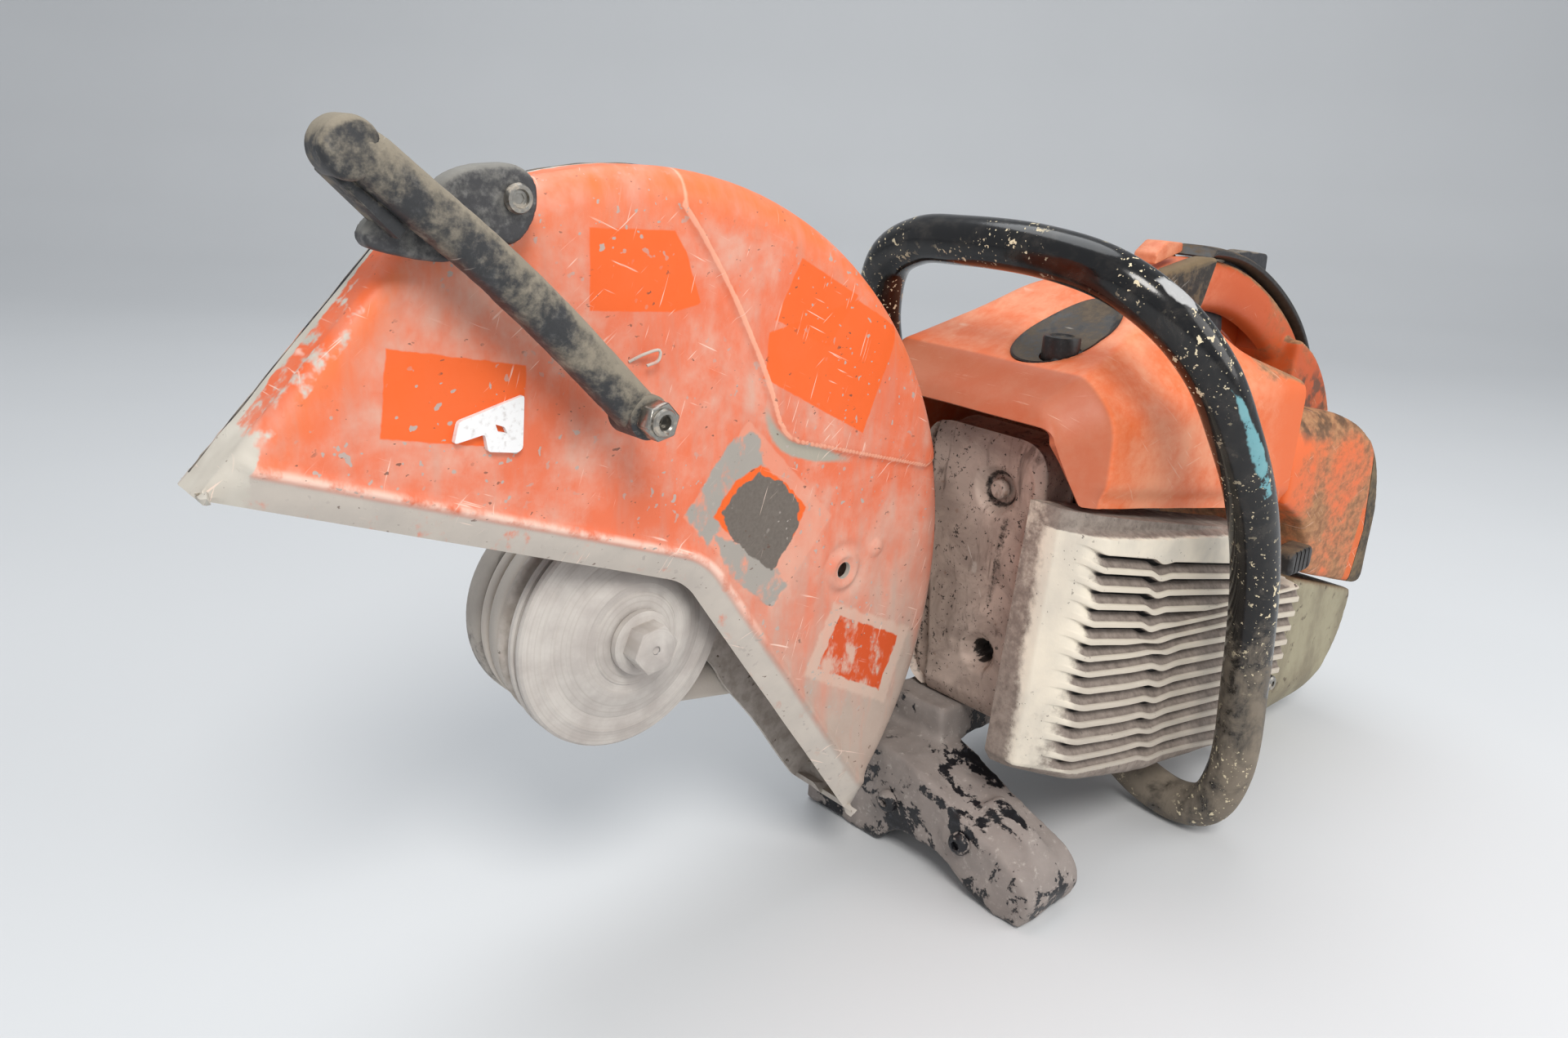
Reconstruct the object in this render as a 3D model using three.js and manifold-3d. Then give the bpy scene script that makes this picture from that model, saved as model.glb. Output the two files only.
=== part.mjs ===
// A petrol masonry saw (hand-held cut-off machine) with its cutting wheel taken off.
// Units are millimetres. +X points to the rear handle, +Y to the belt side, +Z up.
// Shapes are drawn from the cutting spindle's axis, which is the origin of the group "saw".
// That group is then placed so that the whole machine stands on z = 0, centred on x = y = 0.
import * as THREE from "three";
import { mergeVertices } from "three/addons/utils/BufferGeometryUtils.js";
import Module from "manifold-3d";

const wasm = await Module();
wasm.setup();

// Driving dimensions
const GROUND = -165; // height of the standing surface below the spindle
const GAP = 0.3; // clearance between pieces that touch
const GUARD_R = 187; // outer radius of the wheel guard
const GUARD_X = -8; // the middle of the guard's rim, just in front of the spindle
const GUARD_Z = 4;
const GUARD_WALL = 2.5;
const GUARD_NEAR = -27; // outer face of the guard's open side
const GUARD_FAR = 16; // outer face of the guard's arm side
const GUARD_SEAM = -2; // where the two guard shells meet
const FAR_STEP = 6; // the arm side's rim is this much smaller
const HUB_CLEAR = 29; // distance from the spindle to the guard's lower edges
const WASHER_R = 51.5; // thrust washers, 103 mm across
const SHAFT_R = 10; // 20 mm wheel seat
const CRANK_X = 300;
const CRANK_Z = -42;
const CYLINDER_Y = -10; // the cylinder's centre line across the engine
const HANDLE_Y = -30; // middle plane of the rear handle
const TUBE_R = 12.3; // front handle tube
const BODY_NEAR = -95; // near face of the hood and rear housing
const BODY_FAR = 50;
const LINE_SLOPE = Math.tan(THREE.MathUtils.degToRad(-10)); // the body lines fall to the rear

const rad = THREE.MathUtils.degToRad;
const point = (x, y, z) => new THREE.Vector3(x, y, z);

const paint = {
  orange: { color: 0xe8582a, roughness: 0.55, metalness: 0.0 },
  cream: { color: 0xd8d2c2, roughness: 0.7, metalness: 0.0 },
  tank: { color: 0xc9b896, roughness: 0.6, metalness: 0.0 },
  black: { color: 0x26282b, roughness: 0.6, metalness: 0.0 },
  gloss: { color: 0x0c0c0d, roughness: 0.25, metalness: 0.0 },
  rubber: { color: 0x1c1c1c, roughness: 0.9, metalness: 0.0 },
  steel: { color: 0x9a958c, roughness: 0.5, metalness: 0.8 },
  dusty: { color: 0xb3aca0, roughness: 0.85, metalness: 0.3 },
  cast: { color: 0x8d8780, roughness: 0.75, metalness: 0.5 },
  exhaust: { color: 0x6b5d54, roughness: 0.8, metalness: 0.4 },
  felt: { color: 0xcfc9b8, roughness: 1.0, metalness: 0.0 },
};

// Solids -------------------------------------------------------------------

function solidOf(geometry) {
  const plain = geometry.index ? geometry.toNonIndexed() : geometry;
  plain.deleteAttribute("normal");
  plain.deleteAttribute("uv");
  const merged = mergeVertices(plain, 1e-4);
  const mesh = { numProp: 3, vertProperties: merged.attributes.position.array };
  const triVerts = new Uint32Array(merged.index.array);
  const solid = new wasm.Manifold(new wasm.Mesh({ ...mesh, triVerts }));
  if (solid.volume() > 0) return solid;
  triVerts.reverse();
  return new wasm.Manifold(new wasm.Mesh({ ...mesh, triVerts }));
}

function geometryOf(solid) {
  const mesh = solid.getMesh();
  const geometry = new THREE.BufferGeometry();
  geometry.setAttribute("position", new THREE.BufferAttribute(mesh.vertProperties, 3));
  geometry.setIndex(new THREE.BufferAttribute(mesh.triVerts, 1));
  geometry.computeVertexNormals();
  return geometry;
}

const join = (first, ...rest) => rest.reduce((sum, solid) => sum.add(solid), first);
const cut = (first, ...rest) => rest.reduce((sum, solid) => sum.subtract(solid), first);

function shapeOf(corners) {
  return new THREE.Shape(corners.map(([a, b]) => new THREE.Vector2(a, b)));
}

// An (x, z) outline given thickness across the saw, from yNear to yFar.
function plate(shape, yNear, yFar, curveSegments = 16) {
  const depth = yFar - yNear;
  const geometry = new THREE.ExtrudeGeometry(shape, { depth, bevelEnabled: false, curveSegments });
  return solidOf(geometry.rotateX(Math.PI / 2).translate(0, yFar, 0));
}

// A (y, z) outline given length along the saw, from xFront to xRear.
function bar(shape, xFront, xRear, curveSegments = 8) {
  const depth = xRear - xFront;
  const geometry = new THREE.ExtrudeGeometry(shape, { depth, bevelEnabled: false, curveSegments });
  return solidOf(geometry.rotateX(Math.PI / 2).rotateZ(Math.PI / 2).translate(xFront, 0, 0));
}

function block(xFront, xRear, yNear, yFar, zLow, zHigh) {
  const geometry = new THREE.BoxGeometry(xRear - xFront, yFar - yNear, zHigh - zLow);
  geometry.translate((xFront + xRear) / 2, (yNear + yFar) / 2, (zLow + zHigh) / 2);
  return solidOf(geometry);
}

// A profile of [radius, y] corners, closed on itself, turned about an axis along Y.
function turned(profile, x = 0, z = 0, segments = 32) {
  const corners = profile.map(([r, y]) => new THREE.Vector2(r, y));
  const ends = [corners[0], corners.at(-1)];
  if (ends.some((end) => end.x > 0)) corners.push(corners[0].clone());
  return solidOf(new THREE.LatheGeometry(corners, segments).translate(x, 0, z));
}

function disc(radius, yNear, yFar, x = 0, z = 0, segments = 32) {
  const geometry = new THREE.CylinderGeometry(radius, radius, yFar - yNear, segments);
  return solidOf(geometry.translate(x, (yNear + yFar) / 2, z));
}

function ring(outer, inner, yNear, yFar, x = 0, z = 0, segments = 32) {
  return cut(
    disc(outer, yNear, yFar, x, z, segments),
    disc(inner, yNear - 1, yFar + 1, x, z, segments),
  );
}

function pinAlongX(radius, xFront, xRear, y, z, segments = 16) {
  const geometry = new THREE.CylinderGeometry(radius, radius, xRear - xFront, segments);
  return solidOf(geometry.rotateZ(Math.PI / 2).translate((xFront + xRear) / 2, y, z));
}

function pinAlongZ(radius, zLow, zHigh, x, y, segments = 16) {
  const geometry = new THREE.CylinderGeometry(radius, radius, zHigh - zLow, segments);
  return solidOf(geometry.rotateX(Math.PI / 2).translate(x, y, (zLow + zHigh) / 2));
}

function tube(points, radius, sides, steps) {
  const section = new THREE.Shape();
  for (let i = 0; i < sides; i += 1) {
    const angle = (i / sides) * 2 * Math.PI;
    const corner = [radius * Math.cos(angle), radius * Math.sin(angle)];
    if (i === 0) section.moveTo(...corner);
    else section.lineTo(...corner);
  }
  const extrudePath = new THREE.CatmullRomCurve3(points, false, "centripetal");
  return solidOf(new THREE.ExtrudeGeometry(section, { extrudePath, steps, curveSegments: 1 }));
}

// The outline of a taut band round two circles.
function bandShape(x1, z1, r1, x2, z2, r2) {
  const along = Math.atan2(z2 - z1, x2 - x1);
  const lean = Math.acos((r1 - r2) / Math.hypot(x2 - x1, z2 - z1));
  const shape = new THREE.Shape();
  shape.absarc(x1, z1, r1, along + lean, along - lean + 2 * Math.PI, false);
  shape.absarc(x2, z2, r2, along - lean, along + lean, false);
  return shape;
}

// The strip between two offsets of a smooth curve through (x, z) points, for part of its length.
function ribbonShape(through, below, above, from = 0, to = 1, steps = 12) {
  const curve = new THREE.SplineCurve(through.map(([x, z]) => new THREE.Vector2(x, z)));
  const edge = (offset) => {
    const corners = [];
    for (let i = 0; i <= steps; i += 1) {
      const t = from + ((to - from) * i) / steps;
      const along = curve.getTangent(t);
      const at = curve.getPoint(t);
      corners.push([at.x - along.y * offset, at.y + along.x * offset]);
    }
    return corners;
  };
  return shapeOf([...edge(below), ...edge(above).reverse()]);
}

function roundedShape(aLow, aHigh, bLow, bHigh, r) {
  const shape = new THREE.Shape();
  shape.absarc(aHigh - r, bLow + r, r, -Math.PI / 2, 0, false);
  shape.absarc(aHigh - r, bHigh - r, r, 0, Math.PI / 2, false);
  shape.absarc(aLow + r, bHigh - r, r, Math.PI / 2, Math.PI, false);
  shape.absarc(aLow + r, bLow + r, r, Math.PI, 1.5 * Math.PI, false);
  return shape;
}

// The saw's tree of parts ----------------------------------------------------

const saw = new THREE.Group();

function add(name, solid, finish) {
  const mesh = new THREE.Mesh(geometryOf(solid), new THREE.MeshStandardMaterial(finish));
  mesh.name = name;
  saw.add(mesh);
}

// Wheel guard ----------------------------------------------------------------

const FRONT_EDGE = rad(68.7); // direction from the spindle to the front lower edge
const REAR_EDGE = rad(35.6); // and to the rear lower edge
const FACET_START = rad(117.6);
const TAIL_START = rad(-36.5);

// The guard's outline, made smaller all round its rim by an inset.
function guardShape(inset) {
  const shape = new THREE.Shape();
  shape.absarc(GUARD_X, GUARD_Z, GUARD_R - inset, TAIL_START, FACET_START, false);
  shape.lineTo(-167 + 0.73 * inset, 93 - 0.68 * inset);
  shape.absarc(0, 0, HUB_CLEAR, FRONT_EDGE, REAR_EDGE, true);
  shape.lineTo(126 - 0.5 * inset, -126 + 0.5 * inset);
  shape.lineTo(134 - 0.8 * inset, -128 + 0.5 * inset);
  return shape;
}

// The hollow that the cutting wheel turns in, open below.
function wheelSpaceShape(inset) {
  const inner = GUARD_R - GUARD_WALL - inset;
  const shape = new THREE.Shape();
  shape.absarc(GUARD_X, GUARD_Z, inner, rad(-60), FACET_START, false);
  shape.lineTo(-180 + 0.73 * inset, 74 - 0.68 * inset);
  shape.lineTo(-180, -100);
  return shape;
}

function guardNearShell() {
  const outer = plate(guardShape(0), GUARD_NEAR, GUARD_SEAM, 26);
  const hollow = plate(wheelSpaceShape(0), GUARD_NEAR + GUARD_WALL, GUARD_SEAM + 1, 26);
  return cut(outer, hollow, disc(5, GUARD_NEAR - 1, GUARD_SEAM, 108, 11, 12));
}

const COLLAR_R = 40; // the arm's collar that the guard turns on

function guardFarShell() {
  const seam = GUARD_SEAM + GAP;
  const outer = plate(guardShape(FAR_STEP), seam, GUARD_FAR, 26);
  const flange = plate(guardShape(0.5), seam, seam + 2.5, 26);
  const hollow = plate(wheelSpaceShape(FAR_STEP), GUARD_SEAM, GUARD_FAR - GUARD_WALL, 26);
  const hub = disc(50, 12, GUARD_FAR, 0, 0, 32);
  const shell = join(cut(join(outer, flange), hollow), hub);
  return cut(shell, disc(COLLAR_R + 0.5, 0, GUARD_FAR + 1, 0, 0, 32));
}

const LEVER_R = 8;
const leverRoute = [
  point(-24, -45, 107),
  point(-61, -43, 145),
  point(-83, -42, 165),
  point(-106, -41, 184),
  point(-122, -40, 197.5),
];

// The thin far wall of the lever, between its round end and the bracket.
function leverWall(margin) {
  const through = [
    [-124, 199],
    [-114, 191],
    [-104, 182],
  ];
  return plate(ribbonShape(through, -LEVER_R - margin, LEVER_R + margin), -36 - margin, -31 + margin);
}

function adjustingLever() {
  return join(tube(leverRoute, LEVER_R, 10, 24), leverWall(0));
}

function leverBracket() {
  const cheek = shapeOf([
    [-117, 171],
    [-116, 167],
    [-110, 165],
    [-97, 162],
    [-87, 161],
    [-65, 166],
    [-60, 172],
    [-57, 181],
    [-59, 188],
    [-66, 192],
    [-81, 191],
    [-91, 187],
    [-110, 177],
    [-114, 175],
  ]);
  return cut(
    plate(cheek, -36, GUARD_NEAR - GAP),
    tube(leverRoute, LEVER_R + 0.4, 10, 24),
    leverWall(0.4),
  );
}

function waterNozzle() {
  const body = disc(7.5, -62, -45 - LEVER_R - GAP, -24, 107, 6);
  return cut(body, disc(3.2, -63, -50, -24, 107, 12));
}

add("guard_near_shell", guardNearShell(), paint.orange);
add("guard_far_shell", guardFarShell(), paint.dusty);
add("adjusting_lever", adjustingLever(), paint.black);
add("lever_bracket", leverBracket(), paint.black);
add("lever_screw", disc(5, -39, -36 - GAP, -66, 181, 12), paint.steel);
add("water_nozzle", waterNozzle(), paint.steel);

// Cutting spindle --------------------------------------------------------------

const BEARING_R = 20;
const PULLEY_NEAR = 35.5;
const PULLEY_FAR = 45.5;
const SPINDLE_PULLEY_R = 38.5; // 9350 rpm at the clutch gives about 4880 rpm here
const DRIVE_PULLEY_R = 20;

function spindleShaft() {
  const outside = [
    [0, -8],
    [SHAFT_R, -8],
    [SHAFT_R, 10 + GAP],
    [14, 10 + GAP],
    [14, 15],
    [SHAFT_R, 15],
    [SHAFT_R, 45.8],
    [0, 45.8],
  ];
  return cut(turned(outside, 0, 0, 24), disc(5.3, -9, 20, 0, 0, 16));
}

function frontWasher() {
  const seat = SHAFT_R + GAP;
  return turned(
    [
      [seat, -GAP],
      [WASHER_R, -GAP],
      [WASHER_R, -4.5],
      [49, -7],
      [36, -8.5],
      [30, -11.5],
      [18, -12.5],
      [seat, -12.5],
    ],
    0,
    0,
    36,
  );
}

function rearWasher() {
  const seat = SHAFT_R + GAP;
  return turned(
    [
      [seat, GAP],
      [WASHER_R, GAP],
      [WASHER_R, 5],
      [36, 10],
      [seat, 10],
    ],
    0,
    0,
    36,
  );
}

function clampBolt() {
  return join(
    disc(11, -26, -17, 0, 0, 6),
    disc(14, -17.5, -12.5 - GAP, 0, 0, 24),
    disc(5, -13, 16, 0, 0, 16),
  );
}

function groovedPulley(radius, yNear, yFar, bore, x, z) {
  const middle = (yNear + yFar) / 2;
  return turned(
    [
      [bore, yNear],
      [radius + 3, yNear],
      [radius + 3, yNear + 1],
      [radius, yNear + 1.8],
      [radius, middle],
      [radius, yFar - 1.8],
      [radius + 3, yFar - 1],
      [radius + 3, yFar],
      [bore, yFar],
    ],
    x,
    z,
    24,
  );
}

add("spindle_shaft", spindleShaft(), paint.steel);
add("front_thrust_washer", frontWasher(), paint.dusty);
add("rear_thrust_washer", rearWasher(), paint.dusty);
add("clamp_bolt", clampBolt(), paint.dusty);
for (const [name, y] of [["front", 16.5], ["rear", 26]]) {
  add(`spindle_bearing_${name}`, ring(BEARING_R, SHAFT_R + GAP, y, y + 8, 0, 0, 24), paint.steel);
}
const spindlePulley = groovedPulley(SPINDLE_PULLEY_R, PULLEY_NEAR, PULLEY_FAR, SHAFT_R + GAP, 0, 0);
add("spindle_pulley", spindlePulley, paint.steel);

// Arm, belt and clutch -----------------------------------------------------------

const ARM_NEAR = 17;
const ARM_FAR = 35;
const COVER_FAR = 49;
const HUB_R = 48; // front end of the arm and of the belt cover
const DRUM_R = 42;

function castArm() {
  const floor = ARM_NEAR + 5;
  const body = plate(bandShape(0, 0, HUB_R, CRANK_X, CRANK_Z, 58), ARM_NEAR, ARM_FAR, 14);
  const hollow = plate(bandShape(0, 0, 44, CRANK_X, CRANK_Z, 54), floor, ARM_FAR + 1, 14);
  const bearingBoss = disc(BEARING_R + 6, floor - 1, ARM_FAR, 0, 0, 24);
  const collar = disc(COLLAR_R, 12, ARM_NEAR + 1, 0, 0, 32);
  return cut(
    join(cut(body, hollow), bearingBoss, collar),
    disc(BEARING_R + GAP, 11, ARM_FAR + 1, 0, 0, 24),
    disc(DRUM_R + 3, ARM_NEAR - 1, ARM_FAR + 1, CRANK_X, CRANK_Z, 24),
  );
}

function beltCover() {
  const near = ARM_FAR + GAP;
  const outer = plate(bandShape(0, 0, HUB_R, CRANK_X, CRANK_Z, 58), near, COVER_FAR, 14);
  const hollow = plate(bandShape(0, 0, 45, CRANK_X, CRANK_Z, 55), near - 1, COVER_FAR - 2.5, 14);
  return cut(outer, hollow);
}

function driveBelt() {
  const near = PULLEY_NEAR + 2.1;
  const far = PULLEY_FAR - 2.1;
  const loop = (extra) =>
    bandShape(0, 0, SPINDLE_PULLEY_R + extra, CRANK_X, CRANK_Z, DRIVE_PULLEY_R + extra);
  return cut(plate(loop(2.6), near, far, 12), plate(loop(GAP), near - 1, far + 1, 12));
}

function clutchDrum() {
  const cup = [
    [8.3, 31],
    [8.3, PULLEY_FAR],
    [DRIVE_PULLEY_R + 2, PULLEY_FAR],
    [DRIVE_PULLEY_R + 2, PULLEY_FAR - 1],
    [DRIVE_PULLEY_R, PULLEY_FAR - 1.8],
    [DRIVE_PULLEY_R, PULLEY_NEAR + 1.8],
    [DRIVE_PULLEY_R + 2, PULLEY_NEAR + 1],
    [DRUM_R, 34],
    [DRUM_R, 18],
    [DRUM_R - 3, 18],
    [DRUM_R - 3, 31],
  ];
  return turned(cup, CRANK_X, CRANK_Z, 24);
}

function clutch() {
  const shoes = ring(36, 8.3, 20, 29, CRANK_X, CRANK_Z, 24);
  const slots = [0, 1, 2].map((i) => {
    const slot = new THREE.BoxGeometry(30, 20, 2.5).translate(29, 0, 0);
    slot.rotateY((i * 2 * Math.PI) / 3).translate(CRANK_X, 24.5, CRANK_Z);
    return solidOf(slot);
  });
  return cut(shoes, ...slots);
}

add("cast_arm", castArm(), paint.cast);
add("belt_cover", beltCover(), paint.black);
add("drive_belt", driveBelt(), paint.rubber);
add("clutch_drum", clutchDrum(), paint.steel);
add("clutch", clutch(), paint.steel);
for (const [name, x, z] of [["front", 110, -8], ["rear", 200, -20]]) {
  add(`arm_nut_${name}`, disc(8, COVER_FAR + GAP, COVER_FAR + 7, x, z, 6), paint.steel);
}
add("belt_tensioner", disc(9, COVER_FAR + GAP, COVER_FAR + 9, 155, -42, 6), paint.steel);

// Engine ---------------------------------------------------------------------------

const CASE_SPLIT = CYLINDER_Y;
const CASE_BASE = -88; // underside of the crankcase
const DECK = 8; // top of the crankcase, where the cylinder stands
const CYLINDER_TOP = 76;
const BORE_R = 24.5;
const WEB_R = 30;

function crankcaseHalf(yNear, yFar, chamberNear, chamberFar) {
  return cut(
    plate(roundedShape(252, 348, CASE_BASE, DECK, 14), yNear, yFar, 4),
    disc(WEB_R + 3, chamberNear, chamberFar, CRANK_X, CRANK_Z, 24),
    disc(9, yNear - 1, yFar + 1, CRANK_X, CRANK_Z, 16),
    pinAlongZ(BORE_R, CRANK_Z, DECK + 1, CRANK_X, CYLINDER_Y, 24),
  );
}

function crankshaft() {
  const throwZ = CRANK_Z + 17;
  return join(
    disc(8, -93, -25, CRANK_X, CRANK_Z, 16),
    disc(WEB_R, -26, -15, CRANK_X, CRANK_Z, 24),
    disc(6, -16, -4, CRANK_X, throwZ, 16),
    disc(WEB_R, -5, 6, CRANK_X, CRANK_Z, 24),
    disc(8, 5, 45.8, CRANK_X, CRANK_Z, 16),
  );
}

function cylinder() {
  const layers = [pinAlongZ(26.6, DECK + GAP, CYLINDER_TOP, CRANK_X, CYLINDER_Y, 24)];
  for (let z = 22; z < CYLINDER_TOP; z += 10) {
    layers.push(block(251, 347, CYLINDER_Y - 46, CYLINDER_Y + 26.5, z, z + 2.5));
  }
  return cut(
    join(...layers),
    pinAlongZ(BORE_R, DECK - 1, CYLINDER_TOP - 8, CRANK_X, CYLINDER_Y, 24),
    pinAlongZ(5, 62, CYLINDER_TOP + 1, CRANK_X, CYLINDER_Y, 12),
  );
}

function piston() {
  return cut(
    pinAlongZ(BORE_R - 0.4, 24, 56, CRANK_X, CYLINDER_Y, 24),
    pinAlongZ(BORE_R - 4, 23, 50, CRANK_X, CYLINDER_Y, 24),
  );
}

function sparkPlug() {
  return join(
    pinAlongZ(4.6, CYLINDER_TOP - 12, CYLINDER_TOP + 3, CRANK_X, CYLINDER_Y, 12),
    pinAlongZ(9, CYLINDER_TOP + GAP, CYLINDER_TOP + 8, CRANK_X, CYLINDER_Y, 6),
    pinAlongZ(4, CYLINDER_TOP + 6, CYLINDER_TOP + 20, CRANK_X, CYLINDER_Y, 12),
  );
}

function plugBoot() {
  const low = CYLINDER_TOP + 9;
  const cap = pinAlongZ(9, low, low + 19, CRANK_X, CYLINDER_Y, 16);
  return cut(cap, pinAlongZ(4.4, low - 1, low + 13, CRANK_X, CYLINDER_Y, 12));
}

const FAN_R = 54;

function flywheelFan() {
  const blades = [];
  for (let i = 0; i < 12; i += 1) {
    const blade = new THREE.BoxGeometry(26, 14, 2.5).translate(FAN_R - 14, 0, 0);
    blade.rotateY((i / 12) * 2 * Math.PI).translate(CRANK_X, -77.5, CRANK_Z);
    blades.push(solidOf(blade));
  }
  const wheel = join(disc(FAN_R, -71, -66, CRANK_X, CRANK_Z, 28), ...blades);
  return cut(
    join(wheel, disc(22, -84, -66, CRANK_X, CRANK_Z, 24)),
    disc(8 + GAP, -90, -60, CRANK_X, CRANK_Z, 24),
  );
}

add("crankcase_near_half", crankcaseHalf(-48, CASE_SPLIT - GAP / 2, -29, CASE_SPLIT + 1), paint.cast);
add("crankcase_far_half", crankcaseHalf(CASE_SPLIT + GAP / 2, 16.5, CASE_SPLIT - 1, 9), paint.cast);
add("crankshaft", crankshaft(), paint.steel);
add("cylinder", cylinder(), paint.cast);
add("piston", piston(), paint.cast);
add("spark_plug", sparkPlug(), paint.steel);
add("spark_plug_boot", plugBoot(), paint.rubber);
add("flywheel_fan", flywheelFan(), paint.cast);
add("ignition_coil", block(212, 238, -84, -67, -84, -50), paint.black);

// Muffler ----------------------------------------------------------------------------

const MUFFLER_FRONT = 203;
const SCREW_Y = -34;
const SCREW_HIGH = 36;
const SCREW_LOW = -54;

function mufflerShield() {
  const shell = bar(roundedShape(-63, 16, -88, 72, 18), MUFFLER_FRONT, 229, 4);
  const hollow = bar(roundedShape(-60, 13, -85, 69, 15), MUFFLER_FRONT + 12, 230, 4);
  return cut(
    shell,
    hollow,
    pinAlongX(10, MUFFLER_FRONT - 1, MUFFLER_FRONT + 7, SCREW_Y, SCREW_HIGH, 16),
    pinAlongX(10, MUFFLER_FRONT - 1, MUFFLER_FRONT + 7, SCREW_Y, SCREW_LOW, 16),
    pinAlongX(5, MUFFLER_FRONT - 1, 240, SCREW_Y, SCREW_LOW, 12),
  );
}

function mufflerBody() {
  const can = bar(roundedShape(-52, 12, -78, 62, 14), 229 + GAP, 247, 4);
  return cut(can, bar(roundedShape(-49, 9, -75, 59, 12), 228, 244, 4));
}

add("muffler_shield", mufflerShield(), paint.exhaust);
add("muffler_body", mufflerBody(), paint.exhaust);
const mufflerScrew = pinAlongX(6.5, MUFFLER_FRONT + 1, MUFFLER_FRONT + 7 - GAP, SCREW_Y, SCREW_HIGH, 12);
add("muffler_screw", mufflerScrew, paint.steel);

// Starter and fan cover ------------------------------------------------------------------

const COVER_NEAR = -104;
const coverCorners = [
  [190, 42],
  [378, 9],
  [378, -32],
  [400, -36],
  [438, -46],
  [428, -100],
  [395, -125],
  [333, -128],
  [261, -121],
  [215, -108],
  [176, -88],
];
const coverInner = [
  [194, 38],
  [374, 5],
  [374, -35],
  [398, -39.5],
  [434, -49.5],
  [424, -98],
  [393, -121],
  [333, -124],
  [262, -117],
  [217, -104],
  [180, -86],
];

function fanCover() {
  const outer = plate(shapeOf(coverCorners), COVER_NEAR, -65);
  const hollow = plate(shapeOf(coverInner), COVER_NEAR + 4, -64);
  const slots = [];
  for (let i = 0; i < 12; i += 1) {
    const z = 14 - i * 10;
    const rise = (x) => z + (x - 200) * LINE_SLOPE;
    const corners = [
      [206, rise(206)],
      [368, rise(368)],
      [368, rise(368) + 3],
      [206, rise(206) + 3],
    ];
    if (rise(368) > -120) slots.push(plate(shapeOf(corners), COVER_NEAR - 1, COVER_NEAR + 5));
  }
  return cut(outer, hollow, ...slots);
}

const ROPE_PULLEY_R = 35;

add("fan_cover", fanCover(), paint.cream);
for (const [name, x, z] of [["front", 196, -60], ["rear", 412, -106]]) {
  add(`fan_cover_screw_${name}`, disc(5, COVER_NEAR - 3, COVER_NEAR - GAP, x, z, 12), paint.steel);
}
const ropePulley = groovedPulley(ROPE_PULLEY_R, -98, -86, 8 + GAP, CRANK_X, CRANK_Z);
add("starter_pulley", ropePulley, paint.black);

function starterGrip() {
  const bow = roundedShape(384, 411, -27, -12, 6);
  return plate(bow, -112, -98, 4);
}

add("starter_grip", starterGrip(), paint.black);

// Hood and intake ---------------------------------------------------------------------------

const HOOD_FRONT = 184;
const HOOD_REAR = 400;
const SHELL = 3;

function hoodMass(wall, past) {
  const side = shapeOf([
    [HOOD_FRONT + 15 - past, 43 - past],
    [HOOD_FRONT - past, 84 - wall],
    [188, 97 - wall],
    [228, 106 - wall],
    [262, 118 - wall],
    [292, 138 - wall],
    [330, 138 - wall],
    [HOOD_REAR + past, 90 - wall],
    [HOOD_REAR + past, 8 - 2 * past],
  ]);
  const front = shapeOf([
    [BODY_NEAR + wall, -40],
    [BODY_NEAR + wall, 84],
    [-78 + wall / 2, 102 - wall],
    [-58, 138 - wall],
    [-20, 145 - wall],
    [12, 138 - wall],
    [38, 112 - wall],
    [BODY_FAR - wall, 84],
    [BODY_FAR - wall, -40],
  ]);
  return plate(side, -120, 80).intersect(bar(front, 150, 430));
}

const INSERT_X = 228;
const INSERT_Z = 121;

function hood() {
  const shell = cut(hoodMass(0, 0), hoodMass(SHELL, 20));
  const handleRoom = block(312, 420, HANDLE_Y - 19, HANDLE_Y + 19, 40, 160);
  return cut(shell, handleRoom, pinAlongZ(9, 60, 160, INSERT_X, -46, 16));
}

function decompressionButton() {
  return join(
    pinAlongZ(8, INSERT_Z - 14, INSERT_Z - 3, INSERT_X, -46, 16),
    pinAlongZ(3.5, 92, INSERT_Z - 10, INSERT_X, -46, 12),
  );
}

function carburettor() {
  return cut(block(352, 392, -36, 16, 8, 50), pinAlongX(12, 340, 400, CYLINDER_Y, 29));
}

add("hood", hood(), paint.orange);
add("decompression_button", decompressionButton(), paint.black);
add("carburettor", carburettor(), paint.cast);
add("air_filter", block(352, 396, -10, 40, 64, 84), paint.felt);

// Fuel tank, rear housing and rear handle -----------------------------------------------------

const CAP_X = 470;
const CAP_Z = -108;
const CAP_R = 19;
const TANK_FAR = 46;

function tankMass(wall) {
  const side = shapeOf([
    [430 + wall, -106],
    [446 + wall, -48 - wall],
    [540 - wall, -77 - wall],
    [534 - wall, -110],
    [503 - wall, -146 + wall / 2],
    [482 - wall / 2, GROUND + wall],
    [436 + wall, GROUND + wall],
    [424 + wall, -142],
  ]);
  const front = shapeOf([
    [BODY_NEAR + 4 + wall, -40],
    [BODY_NEAR + 4 + wall, -138],
    [BODY_NEAR + 30 + wall, GROUND],
    [TANK_FAR - wall, GROUND],
    [TANK_FAR - wall, -40],
  ]);
  return plate(side, -120, 80).intersect(bar(front, 400, 560));
}

function fuelTank() {
  return cut(
    tankMass(0),
    tankMass(4),
    disc(CAP_R, TANK_FAR - 5, TANK_FAR + 1, CAP_X, CAP_Z, 24),
  );
}

function fuelCap() {
  return join(
    disc(CAP_R - 1, TANK_FAR - 3, TANK_FAR + 3, CAP_X, CAP_Z, 24),
    disc(CAP_R + 4, TANK_FAR + GAP, TANK_FAR + 9, CAP_X, CAP_Z, 24),
    block(CAP_X - 18, CAP_X + 18, TANK_FAR + 8, TANK_FAR + 15, CAP_Z - 3, CAP_Z + 3),
  );
}

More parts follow.
